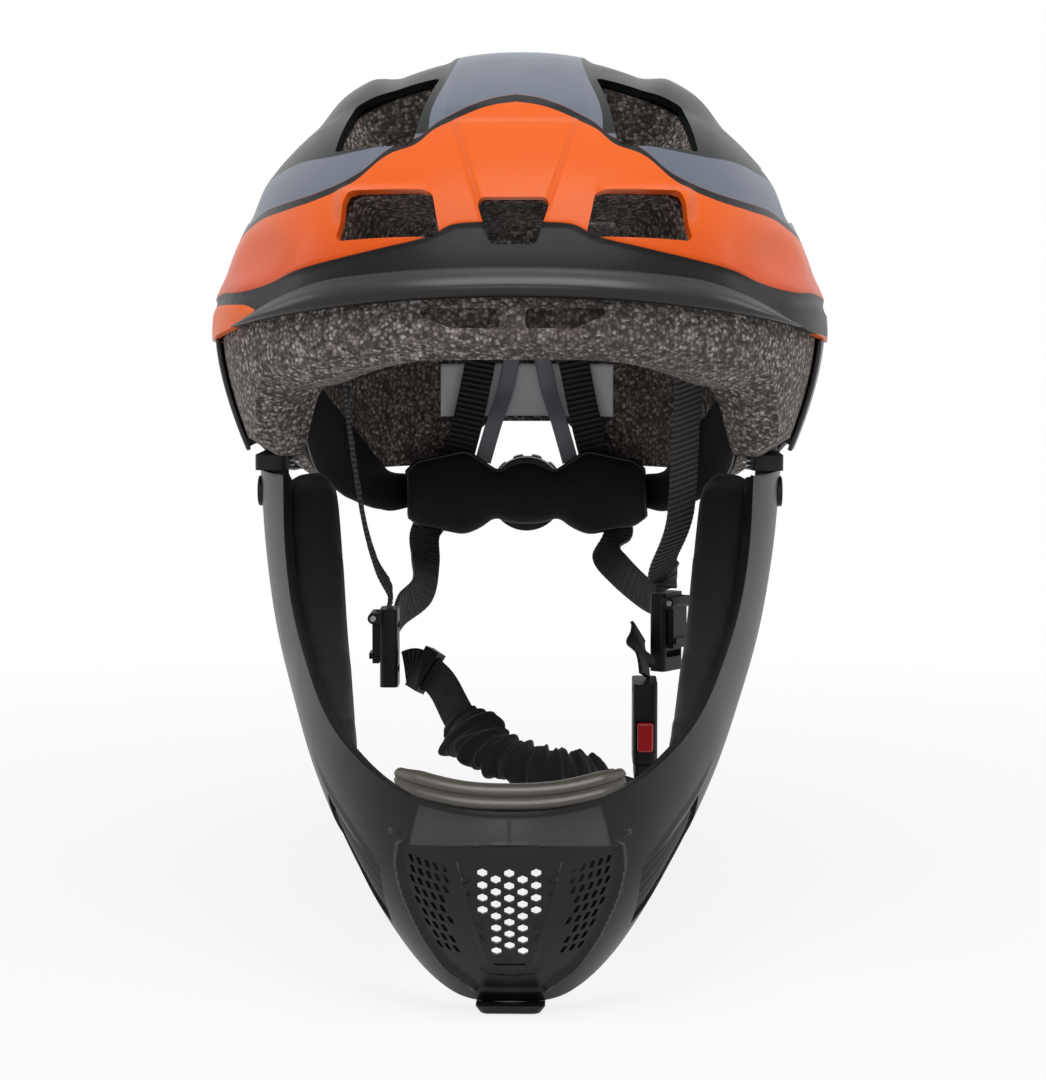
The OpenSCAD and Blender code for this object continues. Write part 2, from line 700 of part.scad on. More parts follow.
// The strap dividers hang below the ears, the left one a little higher
divider_w = 12;
divider_t = 6;
function divider_at(side) = side > 0 ? [48.5, -12, -80.5] : [-43.5, -12, -86];
// How far each one has turned to face forward
function divider_turn(side) = side > 0 ? 35 : 0;
module at_divider(side) {
    translate(divider_at(side))
        rotate(-side * divider_turn(side))
            children();
}
ear_t = 1.6;
lever_t = 2.2;
lever_len = 17;
barrel_r = lever_pin_d / 2 + 0.8;
lever_w = divider_w - 2 * (ear_t + run_gap);
// The lever's hinge line, from the middle of a divider
function lever_pin(side) = [side * (divider_t / 2 + run_gap + barrel_r), 0, divider_h / 2 - 3];

module pin_bar(d, long) {
    rotate([90, 0, 0])
        cylinder(d = d, h = long, center = true);
}

module divider(side) {
    color([0.06, 0.06, 0.07])
        at_divider(side)
            difference() {
                union() {
                    linear_extrude(divider_h, center = true)
                        rounded([divider_t, divider_w], 1.6);
                    for (y = [-1, 1])
                        translate([0, y * (divider_w - ear_t) / 2, 0]) {
                            translate(lever_pin(side))
                                pin_bar(2 * barrel_r, ear_t);
                            translate([side * (divider_t / 2 + lever_pin(1)[0]) / 2, 0, lever_pin(side)[2]])
                                cube([lever_pin(1)[0] - divider_t / 2 + 1.6, ear_t, 2 * barrel_r],
                                    center = true);
                        }
                }
                for (z = [-0.28, 0.28])
                    translate([0, 0, z * divider_h])
                        cube([divider_t + 2, web_w * 0.6, web_t + 0.8], center = true);
                translate(lever_pin(side))
                    pin_bar(lever_pin_d + 0.06, divider_w + 2);
            }
}
module divider_left() { divider(1); }
module divider_right() { divider(-1); }

module divider_pins() {
    color([0.62, 0.62, 0.64])
        for (side = [-1, 1])
            at_divider(side)
                translate(lever_pin(side))
                    pin_bar(lever_pin_d, divider_w + 0.6);
}

// The locking lever on the outer face of a divider, hinged between its ears
module lever(side) {
    color([0.09, 0.09, 0.1])
        at_divider(side)
            translate(lever_pin(side))
                difference() {
                    union() {
                        pin_bar(2 * barrel_r, lever_w);
                        translate([side * (lever_t / 2 - barrel_r), 0, (barrel_r - lever_len) / 2])
                            cube([lever_t, lever_w, lever_len - barrel_r], center = true);
                        translate([side * (lever_t + 0.5 - barrel_r), 0, 2.5 + barrel_r - lever_len])
                            cube([1.2, lever_w, 2], center = true);
                    }
                    pin_bar(lever_pin_d + 0.3, lever_w + 2);
                }
}
module lever_left() { lever(1); }
module lever_right() { lever(-1); }

// Webbing from the foam near each temple down to its divider
front_anchor = dome(270 + 40, 8, inset(cavity_size, 4.4), 0);
module strap_front(side) {
    path = route(concat([for (p = [front_anchor, front_anchor + [-1, 10, -18],
        [side > 0 ? 52 : 50, -40, -40], [47, -25, -57]]) across(p, side)],
        [for (up = [[0, -1, 6], [0, 0, 0.9]])
        divider_at(side) + up + [0, 0, divider_h / 2]]), 4);
    last = len(path) - 1;
    // How far the strap's face looks forward, at its top and in the divider
    face = side > 0 ? 52 : 7;
    function turn(w) = face - (face - divider_turn(side)) * smooth((w - 0.45) / 0.55);
    color([0.09, 0.09, 0.1])
        strip(path, [for (i = [0 : last]) [side * sin(turn(i / last)), cos(turn(i / last)), 0.2]],
            web_w * 0.8, web_t);
}
module strap_front_left() { strap_front(1); }
module strap_front_right() { strap_front(-1); }

// Webbing from the back of the foam, behind the cradle's plate, forward to the divider
rear_anchor = [17, cavity_back - 5, 8];
module strap_rear(side) {
    lane_y = cradle_y + 3.4;
    path = route(concat([for (p = [rear_anchor, [21, lane_y + 4, -12], [25.5, lane_y, -30],
        [30, lane_y, -46], [side > 0 ? 34 : 37.5, lane_y - 0.5, -56.5],
        [side > 0 ? 29.5 : 37, lane_y - 12, side > 0 ? -63 : -66],
        [side > 0 ? 34 : 36.5, 54, side > 0 ? -67 : -74],
        [side > 0 ? 42.5 : 41.5, 18, side > 0 ? -71.5 : -77]]) across(p, side)],
        [divider_at(side) + [-side, 9, side > 0 ? 9 : 6]]), 3);
    last = len(path) - 1;
    color([0.09, 0.09, 0.1])
        strip(path, [for (i = [0 : last]) let(u = smooth((i / last - 0.5) / 0.45))
            [side * (1 - u), 0.2 * u, 0.25 + 0.75 * u]], web_w * 0.8, web_t);
}
module strap_rear_left() { strap_rear(1); }
module strap_rear_right() { strap_rear(-1); }

// The plugs in the foam that hold the tops of the four straps
module strap_plugs() {
    color([0.15, 0.15, 0.16])
        for (side = [-1, 1], p = [front_anchor, rear_anchor])
            translate(across(p, side) + [0, 0, web_t + 1])
                linear_extrude(2.4)
                    rounded([6, 6], 1.4);
}

// The rear cradle as it is seen from the front: its edges, from the middle to one end
cradle_upper = [[0, 12.5], [6, 11], [10, 8], [14, 10.5], [22, 16], [41, 12], [44, 8]];
cradle_lower = [[0, -10], [6, -9.5], [12, -7.5], [17, -11.5], [23, -14], [41, -10.5], [44, -7]];
cradle_end = 44;
cradle_plate_t = 2;
module cradle_yoke() {
    half = concat(cradle_upper, [for (i = [len(cradle_lower) - 1 : -1 : 0]) cradle_lower[i]]);
    color([0.1, 0.1, 0.11])
        translate([0, cradle_y + cradle_plate_t, cradle_z])
            rotate([90, 0, 0])
                linear_extrude(cradle_plate_t)
                    offset(-1)
                        for (side = [-1, 1])
                            scale([side, 1])
                                polygon(half);
}

// The soft pad on the plate, fuller in each lobe and drawn in at its rim
module cradle_pad() {
    steps = 30;
    rows = 8;
    function full(x, w) = 0.35 + 0.65 * pow(sin(180 * w), 0.45)
        * pow(max(0, sin(180 * min(1, (cradle_end - abs(x)) / 16) / 2)), 0.5)
        * (0.8 + 0.2 * smooth((abs(x) - 8) / 10));
    function grid(thick) = [for (i = [0 : steps]) let(x = cradle_end * (2 * i / steps - 1))
        [for (j = [0 : rows]) let(
            low = lookup(abs(x), cradle_lower), high = lookup(abs(x), cradle_upper))
            [x, cradle_y - seat_gap - thick * full(x, j / rows),
                cradle_z + low + (high - low) * j / rows]]];
    color([0.05, 0.05, 0.06])
        plate(grid(cradle_pad_t), grid(0));
}

// Housing of the dial and the two racks
housing_y = cradle_y + cradle_plate_t;
housing_r = 13.6;
arm_y = housing_y + 5;
arm_t = 6;
arm_half = 34;
slot_gap = 0.4;
rack_t = 2.6;
slot_h = 2 * (pinion_r + rack_h + 1.2);
module dial_housing() {
    color([0.12, 0.12, 0.13])
        translate([0, 0, cradle_z])
            difference() {
                union() {
                    translate([0, housing_y + seat_gap, 0])
                        rotate([-90, 0, 0])
                            cylinder(r = housing_r, h = arm_y + arm_t - housing_y - seat_gap);
                    translate([-arm_half, arm_y, -slot_h / 2 - 1.4])
                        cube([2 * arm_half, arm_t, slot_h + 2.8]);
                }
                translate([-arm_half - 1, arm_y + (arm_t - rack_t) / 2 - slot_gap, -slot_h / 2])
                    cube([2 * arm_half + 2, rack_t + 2 * slot_gap, slot_h]);
                translate([0, arm_y - 1, 0])
                    rotate([-90, 0, 0])
                        cylinder(d = 4.6, h = arm_t + 4);
            }
}

// The pinion and the shaft to the dial, about the Y axis
tooth_h = 1.1;
tooth_w = 0.84;
module dial_pinion() {
    color([0.75, 0.75, 0.76])
        translate([0, 0, cradle_z])
            rotate([-90, 0, 0]) {
                translate([0, 0, arm_y + (arm_t - rack_t) / 2])
                    linear_extrude(rack_t) {
                        circle(pinion_r - tooth_h / 2);
                        for (i = [0 : pinion_teeth - 1])
                            rotate(90 + 360 * (i + 0.5) / pinion_teeth)
                                translate([pinion_r - tooth_h, -tooth_w / 2])
                                    square([1.7 * tooth_h - 0.15, tooth_w]);
                    }
                translate([0, 0, arm_y - 0.6])
                    cylinder(d = 4, h = arm_t + 2.5);
            }
}

// A toothed bar over or under the pinion
pitch = 2 * PI * pinion_r / pinion_teeth;
rack_start = -5;
module rack(side) {
    long = arm_half - rack_start + 1.5;
    teeth = floor((long - 6) / pitch);
    color([0.13, 0.13, 0.14])
        translate([0, arm_y + (arm_t - rack_t) / 2, cradle_z])
            rotate([-90, 0, 0])
                linear_extrude(rack_t)
                    scale([side, -side]) {
                        translate([rack_start, pinion_r + tooth_h])
                            square([long, rack_h]);
                        for (i = [0 : teeth])
                            translate([pitch * (i + ceil(rack_start / pitch)) - tooth_w / 2,
                                pinion_r - 0.1])
                                square([tooth_w, tooth_h + 0.2]);
                    }
}
module rack_left() { rack(1); }
module rack_right() { rack(-1); }

// The dial, with finger notches round its rim
module dial_knob() {
    color([0.1, 0.1, 0.11])
        translate([0, arm_y + arm_t + run_gap, cradle_z])
            rotate([-90, 0, 0])
                difference() {
                    cylinder(r = dial_r, h = dial_h);
                    for (i = [0 : 11])
                        rotate(30 * i)
                            translate([dial_r + 1.2, 0, -1])
                                cylinder(r = 2.4, h = dial_h + 2);
                    translate([0, 0, dial_h - 1.2])
                        cylinder(r = dial_r - 5, h = 2);
                    translate([0, 0, -1])
                        cylinder(d = 4.2, h = 1 + 1.6);
                }
}

// The two thin hangers that hold the cradle up
hanger_top_x = 5.4;
module hanger(side) {
    path = route([for (p = [[hanger_top_x, cavity_back - 3.2, 9.5], [8, cavity_back - 4.2, -4],
        [12, cradle_y + 6, -16], [16.2, cradle_y + 3.2, cradle_z + 12]]) across(p, side)], 4);
    color([0.55, 0.52, 0.56])
        strip(path, [for (p = path) [1, 0, 0]], 6, 1.2);
}
module hanger_left() { hanger(1); }
module hanger_right() { hanger(-1); }

module hanger_pegs() {
    color([0.15, 0.15, 0.16])
        for (side = [-1, 1])
            translate([side * hanger_top_x, cavity_back - 2.5, 9])
                rotate([-90, 0, 0])
                    cylinder(d = 4, h = 1.7);
}

// A head belt from the side of the foam back to its rack. It is broad behind the ear.
belt_t = 1.2;
// How far off the foam's inner wall it runs at the front, where it also clears the socket
belt_off = max(1.1, cavity_half_w - post_x + socket_r + belt_t / 2 + seat_gap + 0.3);
belt_wide = [[0, 1], [1, 1.9], [2, 2.4], [3, 2.1], [4, 1.25], [5, 1.05], [6, 1]];
module belt(side) {
    path = route([for (p = [dome(-22, 8, inset(cavity_size, belt_off), 0),
        dome(0, -4, inset(cavity_size, belt_off + 0.5), 0),
        dome(22, -16, inset(cavity_size, belt_off + 1.3), 0),
        dome(42, -29, inset(cavity_size, belt_off + 3.4), 0),
        [cavity_half_w - 22, cradle_y - 10, cradle_z + 2.5], [arm_half + 10, cradle_y + 4, cradle_z + 1],
        [arm_half + 2.4, arm_y + arm_t / 2, cradle_z]]) across(p, side)], 4);
    last = len(path) - 1;
    color([0.11, 0.11, 0.12])
        strip(path, [for (p = path) [0, 0, 1]], belt_w, belt_t,
            [for (i = [0 : last]) lookup(6 * i / last, belt_wide)]);
}
module belt_left() { belt(1); }
module belt_right() { belt(-1); }

module belt_rivets() {
    at = dome(-19, 7, inset(cavity_size, belt_off + 2.4), 0);
    color([0.15, 0.15, 0.16])
        for (side = [-1, 1])
            translate(across(at, side))
                rotate([0, side * 90, 0])
                    cylinder(d = 4, h = 1);
}

// The buckle hangs under the wearer's left divider
buckle_at = [41, -30, -107.5];
buckle_top = buckle_at + [0, 0, buckle_len / 2];
buckle_low = buckle_at - [0, 0, buckle_len / 2];
tongue_len = 16;
tongue_t = buckle_t - 3.4;
tongue_w = buckle_w - 4;
// The release tab on the front edge of the buckle, and how far it is pressed in
release_size = [5, 4.3, 9.4];
release_out = 2.5;
release_travel = 2;
release_z = -4;
release_y = -buckle_w / 2 - release_out + release_size[1] / 2;

module buckle_body() {
    room = release_size[1] - release_out + release_travel + run_gap;
    color([0.05, 0.05, 0.06])
        translate(buckle_at)
            difference() {
                linear_extrude(buckle_len, center = true)
                    rounded([buckle_t, buckle_w], 2);
                translate([0, 0, -buckle_len / 2 + tongue_len / 2])
                    cube([tongue_t, tongue_w, tongue_len + 2], center = true);
                translate([0, 0, buckle_len / 2 - 3])
                    cube([buckle_t + 2, web_w * 0.85, web_t + 1], center = true);
                translate([0, -buckle_w / 2, release_z])
                    cube([release_size[0] + 2 * run_gap, 2 * room, release_size[2] + 2 * run_gap],
                        center = true);
            }
}

module buckle_button() {
    color([0.7, 0.1, 0.11])
        translate(buckle_at + [0, release_y, release_z])
            cube(release_size, center = true);
}

// The tongue, with a notch beside the release tab
module buckle_tongue() {
    blade = [tongue_t - 2 * run_gap, tongue_w - 2 * run_gap, tongue_len - 1];
    notch = buckle_w / 2 - release_size[1] + release_out - release_travel - 2 * run_gap;
    color([0.05, 0.05, 0.06])
        translate(buckle_low) {
            difference() {
                translate([0, 0, tongue_len / 2 - 1])
                    cube(blade, center = true);
                translate([0, -notch - 5, buckle_len / 2 + release_z])
                    cube([buckle_t, 10, release_size[2] + 4 * run_gap], center = true);
            }
            translate([0, 0, -3])
                difference() {
                    linear_extrude(5, center = true)
                        rounded([buckle_t - 1, buckle_w - 2], 1.6);
                    cube([buckle_t + 2, web_w * 0.85, web_t + 1], center = true);
                }
        }
}

// The chin strap from the wearer's right divider, under the chin, to the buckle's tongue
chin_route = [[-38.3, -12.5, -93], [-34, -15, -92], [-26, -22, -97], [-19, -34, -107], [-11, -47, -114],
    [3, -54, -118.5], [18, -54, -121.5], [31, -45, -127.5], [40, -32, -133.2]];
// It shows its face near the divider and lies flat under the chin
function chin_broad(t) = let(u = smooth((t - 2.2) / 1.8))
    (1 - u) * [0.25 * t, 0.15, 0.9] + u * [-0.5 + 0.1 * t, 0.6, 0.25];
// A length of webbing along that route, from t0 to t1, made wider and thicker by a clearance
module chin_web(t0, t1, steps, width, thick) {
    at = [for (i = [0 : steps]) t0 + (t1 - t0) * i / steps];
    strip([for (t = at) spline(chin_route, t)], [for (t = at) chin_broad(t)], width, thick);
}
chin_web_w = web_w * 0.8;
module strap_chin() {
    color([0.09, 0.09, 0.1])
        chin_web(0, len(chin_route) - 1, 24, chin_web_w, web_t);
}

// The padded sleeve round the chin strap, gathered in folds
module chin_sleeve() {
    first = 3;
    last = 7;
    steps = 22;
    sides = 10;
    web_room = 0.5;
    function at(i) = first + (last - first) * i / steps;
    color([0.04, 0.04, 0.05])
        difference() {
            skin([for (i = [0 : steps]) let(
                along = unit(spline(chin_route, at(i) + 0.1) - spline(chin_route, at(i) - 0.1)),
                raw = chin_broad(at(i)),
                w = unit(raw - (raw * along) * along),
                h = cross(along, w),
                fold = 1 + 0.07 * sin(200 * i),
                full = fold * (0.6 + 0.4 * smooth(min(i, steps - i) / 3)))
                [for (j = [0 : sides - 1]) spline(chin_route, at(i))
                    + full * (10.5 * cos(360 * j / sides) * w + 4.6 * sin(360 * j / sides) * h)]]);
            chin_web(first - 1 / 3, last + 1 / 3, 14, chin_web_w + web_room, web_t + web_room);
        }
}

// The ring that holds the loose end of the chin strap
module strap_keeper() {
    at = 4 / 3;
    color([0.1, 0.1, 0.11])
        difference() {
            chin_web(at - 0.25, at + 0.25, 1, chin_web_w + 3.6, web_t + 3.6);
            chin_web(at - 1, at + 1, 6, chin_web_w + 1, web_t + 1);
        }
}

// The short webbing from the wearer's left divider to the buckle
module buckle_stub() {
    path = route([divider_at(1) + [-divider_t / 2 - web_t - 5, -3, 0], [39.3, -20, -84.5],
        buckle_top + [-0.6, 2, 7], buckle_top + [0, 0, 1.6]], 4);
    color([0.09, 0.09, 0.1])
        strip(path, [for (p = path) [0.25, 1, 0]], chin_web_w, web_t);
}

outer_shell();
brow_lip();
lower_shell();
foam_liner();
brow_pad();
crown_pads();
side_pads();
care_label();
socket_left();
socket_right();
belt_left();
belt_right();
belt_rivets();
strap_plugs();
strap_front_left();
strap_front_right();
strap_rear_left();
strap_rear_right();
divider_left();
divider_right();
divider_pins();
cradle_yoke();
cradle_pad();
dial_housing();
hanger_left();
hanger_right();
hanger_pegs();
dial_knob();
dial_pinion();
rack_left();
rack_right();
chin_frame();
chin_trim();
chin_grille();
louvre_left();
louvre_right();
cheek_pad_left();
cheek_pad_right();
chin_foot();
clip_left();
clip_right();
clip_screws();
button_left();
button_right();
lever_left();
lever_right();
strap_chin();
chin_sleeve();
strap_keeper();
buckle_stub();
buckle_body();
buckle_button();
buckle_tongue();
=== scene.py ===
# %% [markdown]
# # A full-face bicycle helmet
# The object is a bicycle helmet with a chin guard that unclips. A painted shell covers grey bead foam,
# and inside it hang pads, straps, a rear cradle with a dial, and a buckled chin strap.
# This file dresses the imported CAD model: the CAD says where everything is, and Blender adds the finer
# shapes and the finishes. The frame is loaded first, and its box is kept.

# %% Load the imported frame
import math
import bmesh
import bpy
from mathutils import Matrix, Vector


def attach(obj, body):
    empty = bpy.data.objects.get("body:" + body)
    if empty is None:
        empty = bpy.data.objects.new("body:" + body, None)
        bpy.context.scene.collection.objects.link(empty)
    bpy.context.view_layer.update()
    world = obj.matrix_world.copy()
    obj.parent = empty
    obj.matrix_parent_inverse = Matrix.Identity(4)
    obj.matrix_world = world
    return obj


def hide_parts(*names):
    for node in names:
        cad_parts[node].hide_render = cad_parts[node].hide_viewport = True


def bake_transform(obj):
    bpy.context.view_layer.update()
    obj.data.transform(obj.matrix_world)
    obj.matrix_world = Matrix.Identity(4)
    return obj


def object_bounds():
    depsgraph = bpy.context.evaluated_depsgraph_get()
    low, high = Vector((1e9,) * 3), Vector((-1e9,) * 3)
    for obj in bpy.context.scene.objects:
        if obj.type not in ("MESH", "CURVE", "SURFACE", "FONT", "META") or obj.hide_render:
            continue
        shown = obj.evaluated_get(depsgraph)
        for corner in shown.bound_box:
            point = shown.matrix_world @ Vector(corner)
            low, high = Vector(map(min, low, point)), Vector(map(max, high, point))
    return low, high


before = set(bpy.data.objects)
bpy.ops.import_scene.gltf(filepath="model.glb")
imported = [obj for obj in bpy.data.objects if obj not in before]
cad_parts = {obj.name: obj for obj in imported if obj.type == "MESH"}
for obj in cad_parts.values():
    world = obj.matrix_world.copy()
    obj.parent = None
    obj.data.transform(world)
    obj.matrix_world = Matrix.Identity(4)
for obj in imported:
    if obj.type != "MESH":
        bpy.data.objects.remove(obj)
cad_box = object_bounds()
MM = 0.001
print("CAD box in mm:", [[round(c / MM, 1) for c in corner] for corner in cad_box])

# %% [markdown]
# ## Camera
# The photograph looks at the face of the helmet from about 0.9 m away and slightly above its middle.
# The lens is long, so the shape is drawn with little perspective. The camera was worked out by setting
# known points of the helmet against the photograph, and it stays level from side to side.

# %% Camera
camera_data = bpy.data.cameras.new("camera")
camera_data.lens = 90.43
camera_data.sensor_width = 36
camera_data.clip_start = 0.02
camera_data.clip_end = 30
camera = bpy.data.objects.new("camera", camera_data)
camera.location = (0.020, -0.909, 0.029)
camera.rotation_euler = (math.radians(90 - 5.05), 0, math.radians(1.219))
bpy.context.scene.collection.objects.link(camera)
bpy.context.scene.camera = camera
print("camera at", tuple(round(c, 3) for c in camera.location))

# %% [markdown]
# ## Writing shader maths as plain expressions
# A finish such as bead foam is a sum of simple patterns. Nodes for each plus and times would be long to
# read, so one class wraps a socket and lets Python's operators add the Math nodes. A second class adds
# any other node to a tree, and a third holds one material's tree with its main shader.

# %% A number that varies over a surface
class Varying:
    def __init__(self, tree, socket):
        self.tree, self.socket = tree, socket

    def maths(self, operation, *others):
        return self.tree.node("ShaderNodeMath", dict(enumerate((self,) + others)), operation=operation)

    def __add__(self, other): return self.maths("ADD", other)
    __radd__ = __add__
    def __mul__(self, other): return self.maths("MULTIPLY", other)
    __rmul__ = __mul__
    def __sub__(self, other): return self.maths("SUBTRACT", other)
    def __rsub__(self, other): return (self * -1) + other
    def __truediv__(self, other): return self.maths("DIVIDE", other)
    def __gt__(self, other): return self.maths("GREATER_THAN", other)
    def __abs__(self): return self.maths("ABSOLUTE")
    def sine(self): return self.maths("SINE")
    def most(self, other): return self.maths("MAXIMUM", other)

    def ease(self, low, high, start=0.0, end=1.0):
        """start below low, end above high, and a smooth way between them."""
        values = {"Value": self, "From Min": low, "From Max": high, "To Min": start, "To Max": end}
        return self.tree.node("ShaderNodeMapRange", values, interpolation_type="SMOOTHSTEP")

# %% A tree of nodes
class Tree:
    def __init__(self, owner):
        owner.use_nodes = True
        self.nodes, self.links = owner.node_tree.nodes, owner.node_tree.links
        self.nodes.clear()

    def node(self, kind, values=None, take=0, **settings):
        """Adds a node: its settings first, then values or links for its sockets. take is the output used."""
        made = self.nodes.new(kind)
        for key, value in settings.items():
            if key == "stops":
                ramp = made.color_ramp
                while len(ramp.elements) < len(value):
                    ramp.elements.new(0.5)
                for element, (place, colour) in zip(ramp.elements, value):
                    element.position = place
                    element.color = (*colour, 1)
            elif key == "curve":
                points = made.mapping.curves[0].points
                while len(points) < len(value):
                    points.new(0.5, 0.5)
                for point, place in zip(points, value):
                    point.location = place
                    point.handle_type = "AUTO_CLAMPED"
                made.mapping.update()
            else:
                setattr(made, key, value)
        for key, value in (values or {}).items():
            self.feed(made.inputs[key], value)
        return Varying(self, made.outputs[take]) if made.outputs else None

    def feed(self, socket, value):
        """Links a varying value to a socket, or sets a plain one."""
        if isinstance(value, Varying):
            self.links.new(value.socket, socket)
        elif isinstance(value, tuple) and len(value) == 3 and socket.type == "RGBA":
            socket.default_value = (*value, 1)
        else:
            socket.default_value = value

# %% One material's tree
class Finish(Tree):
    def __init__(self, name):
        self.material = bpy.data.materials.new(name)
        super().__init__(self.material)
        self.shader = self.nodes.new("ShaderNodeBsdfPrincipled")
        self.node("ShaderNodeOutputMaterial", {"Surface": Varying(self, self.shader.outputs[0])})

    def place(self, scale=1.0, source="Object"):
        """The point on the piece, scaled for a pattern."""
        coordinates = self.node("ShaderNodeTexCoord", take=source)
        return self.node("ShaderNodeMapping", {"Vector": coordinates, "Scale": (scale,) * 3})

    def parts(self, vector):
        made = self.nodes.new("ShaderNodeSeparateXYZ")
        self.feed(made.inputs[0], vector)
        return [Varying(self, output) for output in made.outputs]

    def noise(self, scale, detail=2.0, rough=0.5):
        return self.node("ShaderNodeTexNoise", {"Vector": self.place(), "Scale": scale, "Detail": detail,
                                                "Roughness": rough})

    def blend(self, share, first, second):
        """A colour that goes from first to second as share goes from 0 to 1."""
        return self.node("ShaderNodeMix", {0: share, 6: first, 7: second}, 2, data_type="RGBA")

    def finish(self, relief, depth, strength, **values):
        """Sets the shader's sockets by name, and adds a bump from the relief."""
        for key, value in values.items():
            self.feed(self.shader.inputs[key.replace("_", " ")], value)
        bump = self.node("ShaderNodeBump", {"Strength": strength, "Distance": depth, "Height": relief})
        self.feed(self.shader.inputs["Normal"], bump)
        return self.material

print("a finish starts with:", [node.name for node in Finish("probe").nodes])
bpy.data.materials.remove(bpy.data.materials["probe"])

# %% [markdown]
# ## Floor, backdrop and light
# A product photograph of this kind is lit by large soft boxes against white paper. Here the world gives
# an even pale light, one wide area lamp stands above and in front, and weaker ones in front and at the
# sides draw the long soft edges on the black plastic. The floor is plain. Where the camera sees it, it is
# mixed with plain white: more of it far from the helmet, so that the floor fades into the background,
# and less close by, so that the shadow stays.

# %% What is seen directly
def seen_directly(tree):
    """1 for what the camera sees, straight or by way of a shiny or clear surface, and 0 for other light."""
    path = tree.nodes.new("ShaderNodeLightPath")
    straight, shiny, clear = (Varying(tree, path.outputs[f"Is {kind} Ray"])
                              for kind in ("Camera", "Glossy", "Transmission"))
    return straight.most(shiny).most(clear)

# %% Floor: white paper, part diffuse and part plain white, and only white far off
NEAR_SHARE, FADE_FROM, FADE_TO = 0.82, 0.25, 0.75
FLOOR_SIZE, FLOOR_GAP = 6, 0.0005

floor_paper = bpy.data.materials.new("floor_paper")
tree = Tree(floor_paper)
away = tree.node("ShaderNodeVectorMath", {0: tree.node("ShaderNodeTexCoord", take="Object")}, "Value",
                 operation="LENGTH")
share = seen_directly(tree) * away.ease(FADE_FROM, FADE_TO, NEAR_SHARE, 1.0)
paper = tree.node("ShaderNodeBsdfDiffuse", {"Color": (0.9, 0.9, 0.9)})
white = tree.node("ShaderNodeEmission", {"Color": (1, 1, 1)})
mixed = tree.node("ShaderNodeMixShader", {0: share, 1: paper, 2: white})
tree.node("ShaderNodeOutputMaterial", {"Surface": mixed})

floor_mesh = bpy.data.meshes.new("floor")
bm = bmesh.new()
bmesh.ops.create_grid(bm, x_segments=1, y_segments=1, size=FLOOR_SIZE)
bmesh.ops.translate(bm, verts=bm.verts[:], vec=(0, 0, cad_box[0].z - FLOOR_GAP))
bm.to_mesh(floor_mesh)
bm.free()
floor = bpy.data.objects.new("floor", floor_mesh)
floor_mesh.materials.append(floor_paper)
bpy.context.scene.collection.objects.link(floor)
print("floor at z =", round(cad_box[0].z / MM, 1), "mm")

# %% World: even pale light, and plain white where the camera looks past the object
world = bpy.data.worlds.new("studio")
bpy.context.scene.world = world
tree = Tree(world)
lit = tree.node("ShaderNodeBackground", {"Color": (0.93, 0.96, 1.0), "Strength": 0.30})
shown = tree.node("ShaderNodeBackground", {"Color": (1, 1, 1), "Strength": 1.0})
mixed = tree.node("ShaderNodeMixShader", {0: seen_directly(tree), 1: lit, 2: shown})
tree.node("ShaderNodeOutputWorld", {"Surface": mixed})
print("world nodes:", len(tree.nodes))

# %% Lamps
PALE_BLUE = (0.94, 0.97, 1)

def soft_box(name, at, towards, size, watts, tint=(1, 1, 1)):
    data = bpy.data.lights.new(name, "AREA")
    data.shape = "RECTANGLE"
    data.size, data.size_y = size
    data.energy = watts
    data.color = tint
    lamp = bpy.data.objects.new(name, data)
    lamp.location = at
    lamp.rotation_euler = (Vector(towards) - Vector(at)).to_track_quat("-Z", "Y").to_euler()
    bpy.context.scene.collection.objects.link(lamp)

soft_box("top_box", (0.05, -0.45, 1.0), (0, -0.05, 0), (0.9, 0.7), 9)
soft_box("front_box", (-0.1, -1.5, 0.55), (0, 0, 0), (0.7, 0.4), 2.2)
soft_box("left_box", (-1.1, 0.1, 0.35), (0, 0, -0.05), (0.35, 0.9), 2.5, PALE_BLUE)
soft_box("right_box", (1.1, 0.1, 0.35), (0, 0, -0.05), (0.35, 0.9), 2.5, PALE_BLUE)
bpy.context.scene.view_settings.view_transform = "Standard"

# %% [markdown]
# ## Paint of the outer shell
# The real shell is a formed plastic skin, printed before it is formed. An orange field covers the face
# and the sides, a dark pinstripe sweeps over it, a slate-grey band lies above the stripe, and the upper
# sides and the rear are a very dark green-black. Under the orange, a black band runs down to the brow.
# The orange is painted lighter higher up and darker lower down, as painted light from above.
# The borders are curves: heights that depend on the direction seen from the middle of the head. So the
# material works out that direction from the object's own coordinates, and reads each border's height
# from a curve. That stays sharp at any distance, where colours kept on the mesh's points would blur.

# %% Border heights: direction from the front in degrees, height in millimetres
STRIPE = [(0, 92.4), (6, 91.2), (11, 88.9), (15, 86), (18, 83.4), (20.5, 78.6), (25, 75.8), (30, 66.8),
          (37, 61.6), (44, 59.2), (56, 56.4), (62, 53.8), (90, 45), (130, 34), (160, 27), (180, 25)]
ORANGE_FOOT = [(0, 52.2), (9, 51.5), (12.7, 48), (20, 44.5), (27, 41.5), (35, 38), (42, 33.8), (52, 31.4),
               (60, 31.2), (80, 28), (110, 23), (150, 12), (180, 10)]
WING_TOP = [(0, 0), (35, 12), (37, 22.8), (41, 24.6), (49, 27.6), (60, 27.4), (85, 23), (115, 14),
            (140, 4), (180, 0)]
GREY_TOP = [(0, 79), (22, 79.5), (24, 76.8), (29.5, 75.4), (40, 73), (51, 71.8), (60, 69), (90, 60),
            (130, 46), (150, 40), (180, 38)]
TOP_Z = 120

# %% Shell paint
def border(finish, direction, heights):
    curve = [(a / 180, z / TOP_Z) for a, z in heights]
    return finish.node("ShaderNodeFloatCurve", {"Value": direction}, curve=curve) * TOP_Z

